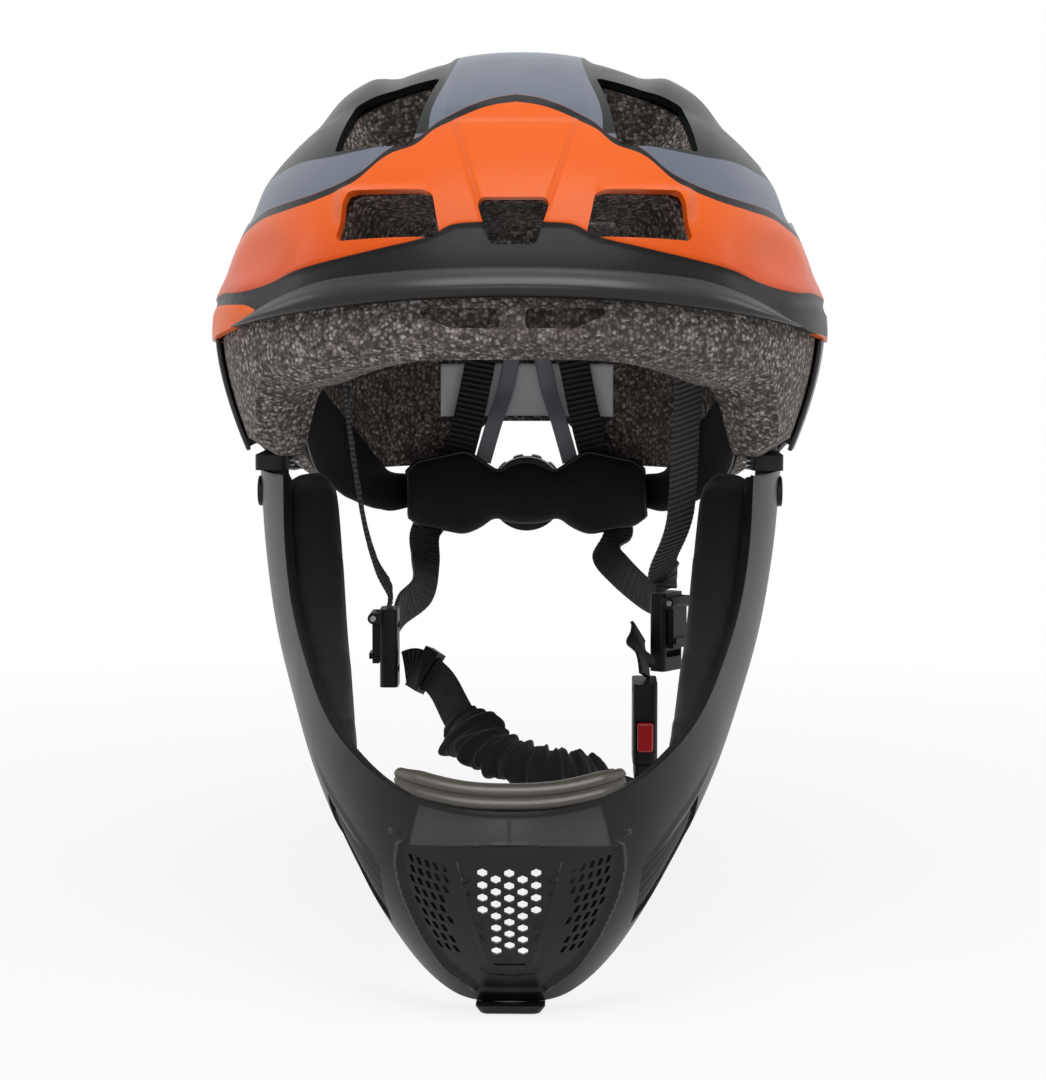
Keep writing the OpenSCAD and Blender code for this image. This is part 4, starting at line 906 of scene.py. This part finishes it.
for side, label in SIDES:
    wall_pad("crown_cushion_" + label, "crown_pads", 10, 36,
             lambda u, v, size: dome_over(side * (12 + 14 * u), -34 + 68 * v, size))
print("pads so far:", [name for name in pieces_made if "cushion" in name])

# %% [markdown]
# ## Label, sockets and small fixings
# A plain pale label is stuck on the rear wall. The sockets, rivets, plugs and pegs are small moulded
# parts whose CAD shape is already right, so they get rounded edges and a finish.

# %% Label
def label_place(u, v):
    return dome_end(32 * (2 * u - 1), -14 + 19.5 * v, inset(CAVITY, 0.85), 1)

wall(piece("blank_label", skin(40, 12, label_place), LABEL_PAPER, "helmet", ["care_label"]), 0.2, 0.0)

# %% Small fixings
refined("socket_left socket_right belt_rivets strap_plugs hanger_pegs", BLACK_PLASTIC, "helmet", 0.2)
refined("divider_pins", STEEL, "helmet", 0.15)
print("pieces so far:", len(pieces_made))

# %% [markdown]
# ## Chin guard
# The chin guard is one thin moulded shell. It is drawn between three lines: an upper edge, a lower edge,
# and a line of handles that the skin bulges towards. A point on it is named by s, from one ear to the
# other, and v, from the upper edge down to the lower one, which makes it easy to say where panels, slots
# and grilles lie.

# %% The chin guard's surface
ARM_TOP_Z = -LOBE_DROP - 0.35 - 5
CHIN_TOP = ARM_TOP_Z - 0.7
CHIN_WALL = 3.0
UPPER = [(0, -152, -88), (17, -150, -87), (34, -142, -83), (47, -129, -75), (56, -113, -66), (63, -95, -54),
         (69, -78, -39), (73, -61, -21), (75, -46, 0)]
HANDLE = [(0, -163, -118), (26, -155, -117), (44, -138, -112), (57, -118, -100), (67, -96, -85),
          (75, -70, -68), (83, -48, -48), (89, -29, -24), (93, -14, 0)]
LOWER = [(0, -137, -147), (16, -133, -145.7), (31, -121, -135), (43, -104, -118), (54, -82, -100),
         (64, -56, -80), (73, -28, -55), (79, -4, -27), (82, 12, 0)]

def both_sides(points):
    lifted = [Vector((x, y, z + CHIN_TOP)) for x, y, z in points]
    return [across(p, -1) for p in lifted[:0:-1]] + lifted

UPPER_LINE, HANDLE_LINE, LOWER_LINE = both_sides(UPPER), both_sides(HANDLE), both_sides(LOWER)

def chin(s, v):
    t = (min(1.0, max(-1.0, s)) + 1) * 8
    return ((1 - v) ** 2 * spline(UPPER_LINE, t) + 2 * v * (1 - v) * spline(HANDLE_LINE, t)
            + v * v * spline(LOWER_LINE, t))

def chin_out(s, v):
    e = 0.01
    return (chin(s + e, v) - chin(s - e, v)).cross(chin(s, v - e) - chin(s, v + e)).normalized()

def chin_in(s, v, d):
    return chin(s, v) - chin_out(s, v) * d

# %% Panels in the chin guard's skin
PANEL_EDGE = [(0.19, 0.17), (0.25, 0.2), (0.35, 0.2), (0.5, 0.185), (0.7, 0.153), (0.83, 0.123),
              (0.92, 0.073)]
STEP_V, STEP_BEND = 0.16, 2.23
FACE_HEART = (0, -20, -60)

def frame_side(v):
    """Where the frame round the grille ends, as a value of s."""
    return 0.09 - 0.0926 * (v - 0.24)

def chin_relief(s, v):
    """How far the skin stands out, in millimetres: a sunk panel in a bead, and a smooth upper one."""
    x = abs(s)
    half = lookup(v, PANEL_EDGE)
    step = STEP_V + STEP_BEND * x * x
    inside = (1 - ease(x, half - 0.006, half + 0.001)) * ease(v, step, step + 0.008)
    inside *= 1 - ease(v, 0.925, 0.945)
    bead = ease(x, half - 0.001, half + 0.003) * (1 - ease(x, half + 0.006, half + 0.012))
    bead *= ease(v, 0.21, 0.25) * (1 - ease(v, 0.90, 0.95))
    upper = (1 - ease(x, 0.184, 0.190)) * ease(v, 0.030, 0.038) * (1 - ease(v, step - 0.004, step + 0.002))
    parting = (1 - ease(x, 0.0004, 0.0016)) * ease(v, 0.045, 0.06) * (1 - ease(v, 0.15, 0.16))
    ear = 1 - ease(math.hypot((x - 0.218) / 0.012, (v - 0.205) / 0.016), 0.5, 1.2)
    crest = 1 - ease(abs(v - 0.40 - 0.5 * max(0.0, 0.34 - x)), 0.0, 0.05)
    crest *= ease(x, 0.24, 0.30) * (1 - ease(x, 0.42, 0.52))
    frame_edge = 1 - ease(abs(x - frame_side(v)), 0.0005, 0.0035)
    frame_edge *= ease(v, 0.235, 0.245) * (1 - ease(v, 0.76, 0.80))
    frame_edge = max(frame_edge, (1 - ease(abs(v - 0.24), 0.001, 0.006)) * (1 - ease(x, 0.088, 0.092)))
    smile = (1 - ease(abs(v - 0.835 + 4.5 * x * x), 0.003, 0.008)) * (1 - ease(x, 0.055, 0.062))
    return (-0.8 * inside + 0.75 * bead - 0.3 * upper - 0.3 * parting + 0.7 * ear + 0.5 * crest
            + 0.3 * frame_edge + 0.5 * smile)

def across_chin(u):
    """The columns stand closer together in the middle, where the small forms are."""
    w = 2 * u - 1
    return w * (0.55 + 0.45 * w * w)

def chin_place(u, v):
    s = across_chin(u)
    return chin(s, v) + chin_out(s, v) * chin_relief(s, v)

# %% The chin guard's own finish: the smooth upper panel is glossier, and painted lighter as a painted sheen
def chin_skin_finish():
    plastic = Finish("chin_skin")
    s, v, _ = plastic.parts(plastic.place(source="UV"))
    x = abs(s)
    below_step = (v - x * x * STEP_BEND).ease(STEP_V - 0.003, STEP_V)
    panel = (1 - x.ease(0.180, 0.188)) * v.ease(0.030, 0.040) * (1 - below_step)
    cloud, grains, rubbed = moulding(plastic, 1300)
    dark = plastic.blend(cloud, (0.0060, 0.0054, 0.0059), (0.0088, 0.0080, 0.0085))
    # The upper panel's lighter colour is a painted sheen; its lower roughness is real.
    light = plastic.blend(cloud, (0.046, 0.042, 0.041), (0.058, 0.054, 0.052))
    return plastic.finish(grains, depth=0.00006, strength=0.35, Base_Color=plastic.blend(panel, dark, light),
                          Roughness=0.38 - rubbed * 0.06 + grains * 0.03 - panel * 0.04,
                          Specular_IOR_Level=0.28)

# %% Openings in the chin guard: the grille's, two for the louvres, and rows of slanted slots
CHIN_H = 150
GRILLE_TOP_Z, GRILLE_LOW_Z = ARM_TOP_Z - 0.68 * CHIN_H, ARM_TOP_Z - 0.9 * CHIN_H
GRILLE_TOP_W, GRILLE_LOW_W = 15, 6
LOUVRE_S, LOUVRE_V = (0.25, 0.42), (0.45, 0.8)
SLOT_CORNERS = ((0.0005, -0.015), (0.0065, -0.013), (0.0005, 0.013), (-0.0055, 0.015))
SLOT_ROWS, SLOT_TOP, SLOT_DOWN, SLOT_IN = 9, 0.30, 0.052, 0.0165

def chin_openings():
    whole = bmesh.new()
    corners = ((-GRILLE_TOP_W + 1.5, GRILLE_TOP_Z - 1.5), (GRILLE_TOP_W - 1.5, GRILLE_TOP_Z - 1.5),
               (GRILLE_LOW_W - 1.5, GRILLE_LOW_Z + 1.5), (-GRILLE_LOW_W + 1.5, GRILLE_LOW_Z + 1.5))
    hull_of(whole, [Vector((x, y, z)) for x, z in corners for y in (-175, -128)], 1.5, 2)
    for side in (-1, 1):
        hull_of(whole, [chin_in(side * s, v, d) for s in LOUVRE_S for v in LOUVRE_V for d in (-5, 7)], 0.6)
        for row in range(SLOT_ROWS):
            v = SLOT_TOP + SLOT_DOWN * row
            for col in range(5 - row // 3):
                s = lookup(v, PANEL_EDGE) - 0.021 - SLOT_IN * col - 0.005 * (row % 2)
                if s >= frame_side(v) + 0.012:
                    hull_of(whole, [chin_in(side * (s + ds), v + dv, d) for ds, dv in SLOT_CORNERS
                                    for d in (-2, 5)], 0.2)
    return whole

# %% Make the chin guard, with holes for the release buttons
BUTTON_AT = chin(0.955, 0.52)
BUTTON_R, HOLE_GAP = 5, 0.35

bm = skin(int(320 * detail), int(112 * detail), chin_place, lambda u, v: (across_chin(u), v))
chin_shell = piece("chin_shell", bm, chin_skin_finish(), "chin_guard", ["chin_frame"], outwards=FACE_HEART)
wall(chin_shell, CHIN_WALL)
round_edges(chin_shell, 0.7, 65)
settle(chin_shell)
cut(chin_shell, chin_openings())
holes = bmesh.new()
for side, _ in SIDES[::-1]:
    peg(holes, across(BUTTON_AT, side), BUTTON_R + HOLE_GAP, 40, 48)
cut(chin_shell, holes)
print("chin shell faces:", len(chin_shell.data.polygons))

# %% [markdown]
# ## Grille, louvres and bumper
# The middle grille is a thin plate with rows of six-sided holes, every other column half a step lower,
# and closed dimples at its edges. It laps a little into the wall round it, as a plate held in a groove
# does, so no light shows beside it. The louvres are slatted covers in the side openings. A soft double
# bumper lies along the upper edge.

# %% Make the grille
GRILLE_LAP = 0.7

def chin_at(x, z):
    """The place (s, v) on the chin guard that has this x and height."""
    s, v = x / 110, 0.5
    for _ in range(12):
        p = chin(s, v)
        s += (x - p.x) / 130
        v += (p.z - z) / 62
        v = min(1.0, max(0.0, v))
    return s, v

def grille_place(u, v):
    z = GRILLE_LOW_Z - GRILLE_LAP + (GRILLE_TOP_Z - GRILLE_LOW_Z + 2 * GRILLE_LAP) * v
    half = GRILLE_LOW_W + (GRILLE_TOP_W - GRILLE_LOW_W) * v + GRILLE_LAP
    x = half * (2 * u - 1)
    s, w = chin_at(x, z)
    rim = ease(abs(x), half - 2.6, half - 1.8) + ease(z, GRILLE_TOP_Z - 2.0, GRILLE_TOP_Z - 1.2)
    return chin_in(s, w, 1.15 - 0.35 * min(1.0, rim))

grille_plate = piece("grille_plate", skin(60, 90, grille_place), CHIN_PLASTIC, "chin_guard", ["chin_grille"],
                     outwards=FACE_HEART)
wall(grille_plate, 1.5)
settle(grille_plate)

# %% The grille's holes: through ones, and blind dimples at its edges
COLUMN_STEP, ROW_STEP, HOLE_R = 3.99, 3.8, 1.62
SIX_SIDED = FORWARDS @ Matrix.Scale(0.78, 4, (0, 1, 0))

holes = bmesh.new()
for col in range(-3, 4):
    x = abs(col) * COLUMN_STEP
    for row in range(9):
        z = GRILLE_TOP_Z - ROW_STEP * (row + (1.7 if col % 2 else 1.2))
        share = (GRILLE_TOP_Z - z) / (GRILLE_TOP_Z - GRILLE_LOW_Z)
        edge = GRILLE_TOP_W + (GRILLE_LOW_W - GRILLE_TOP_W) * share
        if x > edge + 0.3 or z < GRILLE_LOW_Z + 1.5:
            continue
        blind = x + 1.68 > edge or z < GRILLE_LOW_Z + 2.1
        at = chin_in(*chin_at(col * COLUMN_STEP, z), -1.5 if blind else 1.9)
        peg(holes, at, HOLE_R, 6 if blind else 8, 6, SIX_SIDED)
cut(grille_plate, holes)
print("grille faces:", len(grille_plate.data.polygons))

# %% Make the louvres
for side, label in SIDES:
    s0, s1 = sorted(side * s for s in LOUVRE_S)
    def slatted(u, v):
        slat = (v * 5) % 1.0
        return chin_in(s0 + (s1 - s0) * u, 0.45 + 0.35 * (1 - v),
                       1.0 + 1.0 * ease(slat, 0.0, 0.85) - 1.0 * ease(slat, 0.9, 1.0))
    wall(piece(f"louvre_{label}_fine", skin(28, 60, slatted), BLACK_PLASTIC, "chin_guard",
               ["louvre_" + label], outwards=FACE_HEART), 0.8)

# %% Make the bumper
TRIM_S = 0.243
TRIM_SECTION = [(0.2, -2.6), (2.6, -3.2), (4.6, -1.8), (3.4, 0.1), (4.4, 1.9), (2.8, 3.6), (0.2, 4),
                (-2.4, 3.2), (-3.2, 1.4), (-2.6, 0), (-3.2, -1.6), (-2.2, -2.8)]

def trim_place(u, v):
    s = TRIM_S * (2 * u - 1)
    out = chin_out(s, 0.02)
    flat = Vector((out.x, out.y, 0)).normalized()
    end = min(u, 1 - u)
    full = 0.65 + 0.35 * ease(end * 8)
    full *= 0.2 + 0.8 * math.sqrt(max(0.0, 1 - (1 - min(1.0, end * 50)) ** 2))
    c = on_ring(TRIM_SECTION, v)
    return chin(s, 0) - flat * 1.5 + Vector((0, 0, 3.4)) + full * (c.x * flat + Vector((0, 0, c.y)))

piece("bumper", skin(140, 60, trim_place, close_ends=True), TRIM_RUBBER, "chin_guard", ["chin_trim"], 60)

# %% [markdown]
# ## Cheek pads
# Thick soft pads line the inside of both arms. They are fullest at the front edge beside the face and
# thin out towards the chin. The closed grid gives the cut of the pad, and the short simulation swells it.

# %% Make the cheek pads
CHEEK_S, CHEEK_V, CHEEK_DEEP, CHEEK_RISE = (0.36, 0.985), (0.04, 0.68), 21, 7

def cheek_full(u, w):
    ends = math.sin(math.radians(90 * min(1, 3 * u))) * math.sin(math.radians(90 * min(1, 12 * (1 - u))))
    wave = max(0.0, math.sin(math.pi * w)) ** 0.5
    return (0.4 + 0.6 * ease(1.1 * u)) * (0.3 + 0.7 * ends ** 0.6) * (0.3 + 0.7 * wave if w < 0.5
                                                                     else 0.78 + 0.22 * wave)

def cheek_place(side, u, v, deep):
    rise = CHEEK_RISE * ease((u - 0.6) / 0.3) * ease((deep - 9.5) / 5)
    return chin_in(side * (CHEEK_S[0] + (CHEEK_S[1] - CHEEK_S[0]) * u),
                   CHEEK_V[1] + (CHEEK_V[0] - CHEEK_V[1]) * v, CHIN_WALL + 0.3 + deep) + Vector((0, 0, rise))

for side, label in SIDES:
    bm = pad_skin(48, 24, lambda u, v: cheek_place(side, u, v, 0),
                  lambda u, v: cheek_place(side, u, v, CHEEK_DEEP * max(0.05, cheek_full(u, v))))
    made = piece("cheek_cushion_" + label, bm, PAD_FABRIC, "chin_guard", ["cheek_pad_" + label], 60)
    room = bmesh.new()
    peg(room, across(BUTTON_AT - Vector((CHIN_WALL + 5.4 + 10, 0, 0)), side), 7.2, 20)
    cut(made, room)
    swell(made, 1.2)
    print("cheek pad", label, "faces:", len(made.data.polygons))

# %% Foot, clips, screws and buttons
refined("chin_foot", CHIN_PLASTIC, "chin_guard", 0.3)
refined("clip_left clip_right", BLACK_PLASTIC, "chin_guard", 0.6)
refined("clip_screws", STEEL, "chin_guard", 0.15)
refined("button_left", BLACK_PLASTIC, "button_l", 0.5)
refined("button_right", BLACK_PLASTIC, "button_r", 0.5)

# %% [markdown]
# ## Straps
# Webbing is a flat woven band. Each strap is a bent grid whose short direction goes round the band's
# section, a flat loop with rounded edges, and whose long direction follows a smooth route between its
# fixings. Its map is in millimetres, so the ribs of the weave keep their real spacing.

# %% A band along a route
def rounded_wave(wave):
    """A wave with flat tops, which draws a loop with rounded corners."""
    return math.copysign(abs(wave) ** 0.35, wave)

def band(path, broad, width, thick, ripple=0.0, wide=None):
    """path(t) is the centre and broad(t) the way across, for t from 0 to 1, and wide(t) scales the width."""
    ticks = [0.0]
    for k in range(200):
        ticks.append(ticks[-1] + (path((k + 1) / 200) - path(k / 200)).length)
    def run(t):
        k = min(199, int(t * 200))
        return ticks[k] + (ticks[k + 1] - ticks[k]) * (t * 200 - k)
    def place(u, v):
        along = (path(min(1.0, u + 0.004)) - path(max(0.0, u - 0.004))).normalized()
        raw = Vector(broad(u))
        w = (raw - raw.dot(along) * along).normalized()
        h = along.cross(w)
        half = width / 2 * (wide(u) if wide else 1.0)
        deep = thick / 2 * (1 + ripple * math.sin(2 * math.pi * run(u) / RIB))
        turn = 2 * math.pi * v
        return path(u) + w * rounded_wave(math.cos(turn)) * half + h * rounded_wave(math.sin(turn)) * deep
    def cover(u, v):
        return rounded_wave(math.cos(2 * math.pi * v)) * width / 2, run(u)
    cols = max(12, int(ticks[-1] / (0.5 if ripple else 1.0)))
    return skin(cols, 20, place, cover, close_ends=True), ticks[-1]

def route(points):
    points = [Vector(p) for p in points]
    return lambda t: spline(points, t * (len(points) - 1))

# %% Front straps
WEB_W, WEB_T, RIPPLE, DIVIDER_H = 14 * 0.8, 1.4, 0.18, 26
DIVIDER = {1: Vector((48.5, -12, -80.5)), -1: Vector((-43.5, -12, -86))}
FRONT_ANCHOR = dome(270 + 40, 8, inset(CAVITY, 4.4), 0)

for (side, label), x, face, turned in zip(SIDES, (52, 50), (52, 7), (35, 0)):
    points = [across(p, side) for p in (FRONT_ANCHOR, FRONT_ANCHOR + Vector((-1, 10, -18)), (x, -40, -40),
                                        (47, -25, -57))]
    points += [DIVIDER[side] + Vector(up) + Vector((0, 0, DIVIDER_H / 2)) for up in ((0, -1, 6), (0, 0, 0.9))]
    def broad(t):
        turn = math.radians(face - (face - turned) * ease((t - 0.45) / 0.55))
        return side * math.sin(turn), math.cos(turn), 0.2
    bm, length = band(route(points), broad, WEB_W, WEB_T, RIPPLE)
    piece("front_webbing_" + label, bm, WEBBING, "helmet", ["strap_front_" + label], 50)
    print("front webbing", label, round(length), "mm")

# %% [markdown]
# The rear straps start in the foam, pass down behind the cradle's plate and come forward to the dividers.
# The cradle slides forward as the dial tightens it, and the strap follows it in the middle only. So each
# rear strap is made as two bands that meet at the cradle: the upper one runs from the helmet to the cradle,
# and the lower one from the cradle back to the helmet.

# %% Rear straps
REAR_ANCHOR = Vector((17, CAVITY[2] - 5, 8))
LANE_Y = 91 + 3.4
REAR_TOP = (REAR_ANCHOR, (21, LANE_Y + 4, -12), (25.5, LANE_Y, -30), (30, LANE_Y, -46))
REAR_END = {1: ((34, LANE_Y - 0.5, -56.5), (29.5, LANE_Y - 12, -63), (34, 54, -67), (42.5, 18, -71.5)),
            -1: ((37.5, LANE_Y - 0.5, -56.5), (37, LANE_Y - 12, -66), (36.5, 54, -74), (41.5, 18, -77))}
SPLIT = 3 / 8

def bent(name, bm, material, node):
    """A strap between two places, made on no body."""
    made = piece(name, bm, material, nodes=[node], sharp=50)
    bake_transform(made)

for side, label in SIDES:
    points = [across(p, side) for p in REAR_TOP + REAR_END[side]]
    points.append(DIVIDER[side] + Vector((-side, 9, 9 if side > 0 else 6)))
    whole = route(points)
    def broad(t):
        u = ease((t - 0.5) / 0.45)
        return side * (1 - u), 0.2 * u, 0.25 + 0.75 * u
    bm, upper = band(lambda t: whole(t * SPLIT), lambda t: broad(t * SPLIT), WEB_W, WEB_T, RIPPLE)
    bent("rear_webbing_upper_" + label, bm, WEBBING, "strap_rear_" + label)
    bm, lower = band(lambda t: whole(SPLIT + t * (1 - SPLIT)), lambda t: broad(SPLIT + t * (1 - SPLIT)),
                     WEB_W, WEB_T, RIPPLE)
    bent("rear_webbing_lower_" + label, bm, WEBBING_PLAIN, "strap_rear_" + label)
    print("rear webbing", label, round(upper + lower), "mm")

# %% Dividers and their levers
for (side, label), body in zip(SIDES, ("lever_l", "lever_r")):
    refined("divider_" + label, BLACK_PLASTIC, "helmet", 0.5)
    refined("lever_" + label, BLACK_PLASTIC, body, 0.3)

# %% [markdown]
# ## Rear cradle
# A flexible plate with a soft pad holds the back of the head. The dial behind it turns a small pinion,
# which draws in the two racks at the ends of the head belts. Two thin grey hangers carry the plate.

# %% Hard parts of the cradle
refined("cradle_yoke dial_housing", BLACK_PLASTIC, "cradle", 0.4)
refined("dial_knob", BLACK_PLASTIC, "dial", 0.5)
refined("dial_pinion", WHITE_ACETAL, "dial", 0.1)
refined("rack_left", BLACK_PLASTIC, "rack_l", 0.1)
refined("rack_right", BLACK_PLASTIC, "rack_r", 0.1)

# %% Cradle pad with its piping
CRADLE_UPPER = [(0, 12.5), (6, 11), (10, 8), (14, 10.5), (22, 16), (41, 12), (44, 8)]
CRADLE_LOWER = [(0, -10), (6, -9.5), (12, -7.5), (17, -11.5), (23, -14), (41, -10.5), (44, -7)]
CRADLE_Y, CRADLE_Z, CRADLE_END, CRADLE_DEEP, PIPING_R = 91, -42.5, 44, 6, 0.8

def smooth_edge(x, table):
    """The edge's height, with its corners eased over a few millimetres."""
    return sum(lookup(min(CRADLE_END, abs(x + d)), table) for d in (-2, -1, 0, 1, 2)) / 5

def pad_height(x, w):
    low, high = smooth_edge(x, CRADLE_LOWER), smooth_edge(x, CRADLE_UPPER)
    return low + (high - low) * w

def cradle_full(x, w):
    end = max(0.0, math.sin(math.pi / 2 * min(1.0, (CRADLE_END - abs(x)) / 16))) ** 0.5
    return 0.35 + 0.65 * max(0.0, math.sin(math.pi * w)) ** 0.45 * end * (0.8 + 0.2 * ease((abs(x) - 8) / 10))

def cradle_place(u, v, deep):
    x = CRADLE_END * (2 * u - 1)
    return Vector((x, CRADLE_Y - 0.1 - deep * cradle_full(x, v), CRADLE_Z + pad_height(x, v)))

bm = pad_skin(100, 26, lambda u, v: cradle_place(u, v, 0), lambda u, v: cradle_place(u, v, CRADLE_DEEP))
piece("cradle_cushion", bm, PAD_FABRIC, "cradle", ["cradle_pad"], 60)

def cradle_outline(t):
    """A closed walk round the pad's rim: along its top and back along its foot."""
    t = (t % 1.0) * 2
    x, w = (CRADLE_END * (2 * t - 1), 1) if t < 1 else (CRADLE_END * (1 - 2 * (t - 1)), 0)
    return Vector((x, CRADLE_Y - 2.0, CRADLE_Z + pad_height(x, w)))

def piping_place(u, v):
    along = (cradle_outline(u + 0.002) - cradle_outline(u - 0.002)).normalized()
    w = along.cross(Vector((0, 1, 0))).normalized()
    turn = 2 * math.pi * v
    return cradle_outline(u) + PIPING_R * (math.cos(turn) * w + math.sin(turn) * Vector((0, 1, 0)))

piece("cradle_piping", skin(260, 10, piping_place), LIP_PLASTIC, "cradle", sharp=60)
print("cradle piping faces:", pieces_made["cradle_piping"])

# %% Hangers and belts: they run from the helmet to the cradle
HANGER = ((5.4, 102.8, 9.5), (8, 101.8, -4), (12, 97, -16), (16.2, 94.2, -30.5))
BELT = (dome(-22, 8, inset(CAVITY, 1.1), 0), dome(0, -4, inset(CAVITY, 1.6), 0),
        dome(22, -16, inset(CAVITY, 2.4), 0), dome(42, -29, inset(CAVITY, 4.5), 0),
        (52, 81, CRADLE_Z + 2.5), (44, 95, CRADLE_Z + 1), (36.4, 101, CRADLE_Z))
BELT_WIDE = [(0, 1), (1, 1.9), (2, 2.4), (3, 2.1), (4, 1.25), (5, 1.05), (6, 1)]

for side, label in SIDES:
    bm, length = band(route([across(p, side) for p in HANGER]), lambda t: (1, 0, 0), 6, 1.2)
    bent("hanger_band_" + label, bm, HANGER_PLASTIC, "hanger_" + label)
    bm, length = band(route([across(p, side) for p in BELT]), lambda t: (0, 0, 1), 12, 1.2,
                      wide=lambda t: lookup(6 * t, BELT_WIDE))
    bent("head_belt_" + label, bm, BLACK_PLASTIC, "belt_" + label)
    print("belt", label, round(length), "mm")

# %% [markdown]
# ## Chin strap
# The strap runs from the right divider under the chin to the buckle on the left. Its end goes with the
# buckle's tongue. A padded cloth sleeve is gathered on it in soft folds.

# %% Strap
CHIN_ROUTE = [(-38.3, -12.5, -93), (-34, -15, -92), (-26, -22, -97), (-19, -34, -107), (-11, -47, -114),
              (3, -54, -118.5), (18, -54, -121.5), (31, -45, -127.5), (40, -32, -133.2)]

def chin_broad(t):
    """It shows its face near the divider and lies flat under the chin. t counts the points of the route."""
    u = ease((t - 2.2) / 1.8)
    return Vector((0.25 * t, 0.15, 0.9)).lerp(Vector((-0.5 + 0.1 * t, 0.6, 0.25)), u)

bm, length = band(route(CHIN_ROUTE), lambda t: chin_broad(8 * t), WEB_W, WEB_T)
bent("chin_webbing", bm, WEBBING_PLAIN, "strap_chin")
print("chin webbing", round(length), "mm")

# %% Gathered sleeve
SLEEVE_FROM, SLEEVE_RUN, SLEEVE_W, SLEEVE_T = 3, 4, 10.5, 4.6

def sleeve_place(u, v):
    t = SLEEVE_FROM + SLEEVE_RUN * u
    along = (spline(CHIN_ROUTE, t + 0.1) - spline(CHIN_ROUTE, t - 0.1)).normalized()
    raw = chin_broad(t)
    w = (raw - raw.dot(along) * along).normalized()
    h = along.cross(w)
    turn = 2 * math.pi * v
    fold = 0.10 * math.sin(2 * math.pi * (u * 9 + 0.25 * math.sin(turn) + 0.08 * math.sin(3 * turn)))
    fold += 0.06 * math.sin(2 * math.pi * (u * 17 + 0.35 * math.cos(turn)) + 1.3)
    fold += 0.03 * math.sin(2 * math.pi * u * 31 + 5 * math.sin(turn))
    full = (1 + fold) * (0.60 + 0.40 * ease(min(u, 1 - u) * 7))
    return spline(CHIN_ROUTE, t) + full * (SLEEVE_W * math.cos(turn) * w + SLEEVE_T * math.sin(turn) * h)

bm = skin(170, 48, sleeve_place, close_ends=True)
piece("gathered_sleeve", bm, PAD_FABRIC, "chin_strap", ["chin_sleeve"], 70)
print("sleeve faces:", pieces_made["gathered_sleeve"])

# %% Keeper, short webbing and buckle
BUCKLE_TOP = Vector((41, -30, -94.5))

refined("strap_keeper", BLACK_PLASTIC, "chin_strap", 0.3)
points = [DIVIDER[1] + Vector((-9.4, -3, 0)), (39.3, -20, -84.5), BUCKLE_TOP + Vector((-0.6, 2, 7)),
          BUCKLE_TOP + Vector((0, 0, 1.6))]
bm, length = band(route(points), lambda t: (0.25, 1, 0), WEB_W, WEB_T)
piece("buckle_webbing", bm, WEBBING_PLAIN, "chin_strap", ["buckle_stub"], 50)
refined("buckle_body", BLACK_PLASTIC, "chin_strap", 0.6)
refined("buckle_tongue", BLACK_PLASTIC, "tongue", 0.4)
refined("buckle_button", RED_PLASTIC, "release", 0.6)
print("buckle webbing", round(length), "mm")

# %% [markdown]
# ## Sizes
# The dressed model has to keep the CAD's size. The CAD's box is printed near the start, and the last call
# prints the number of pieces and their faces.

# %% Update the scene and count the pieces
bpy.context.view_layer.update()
print("pieces:", len(pieces_made), "faces:", sum(pieces_made.values()))
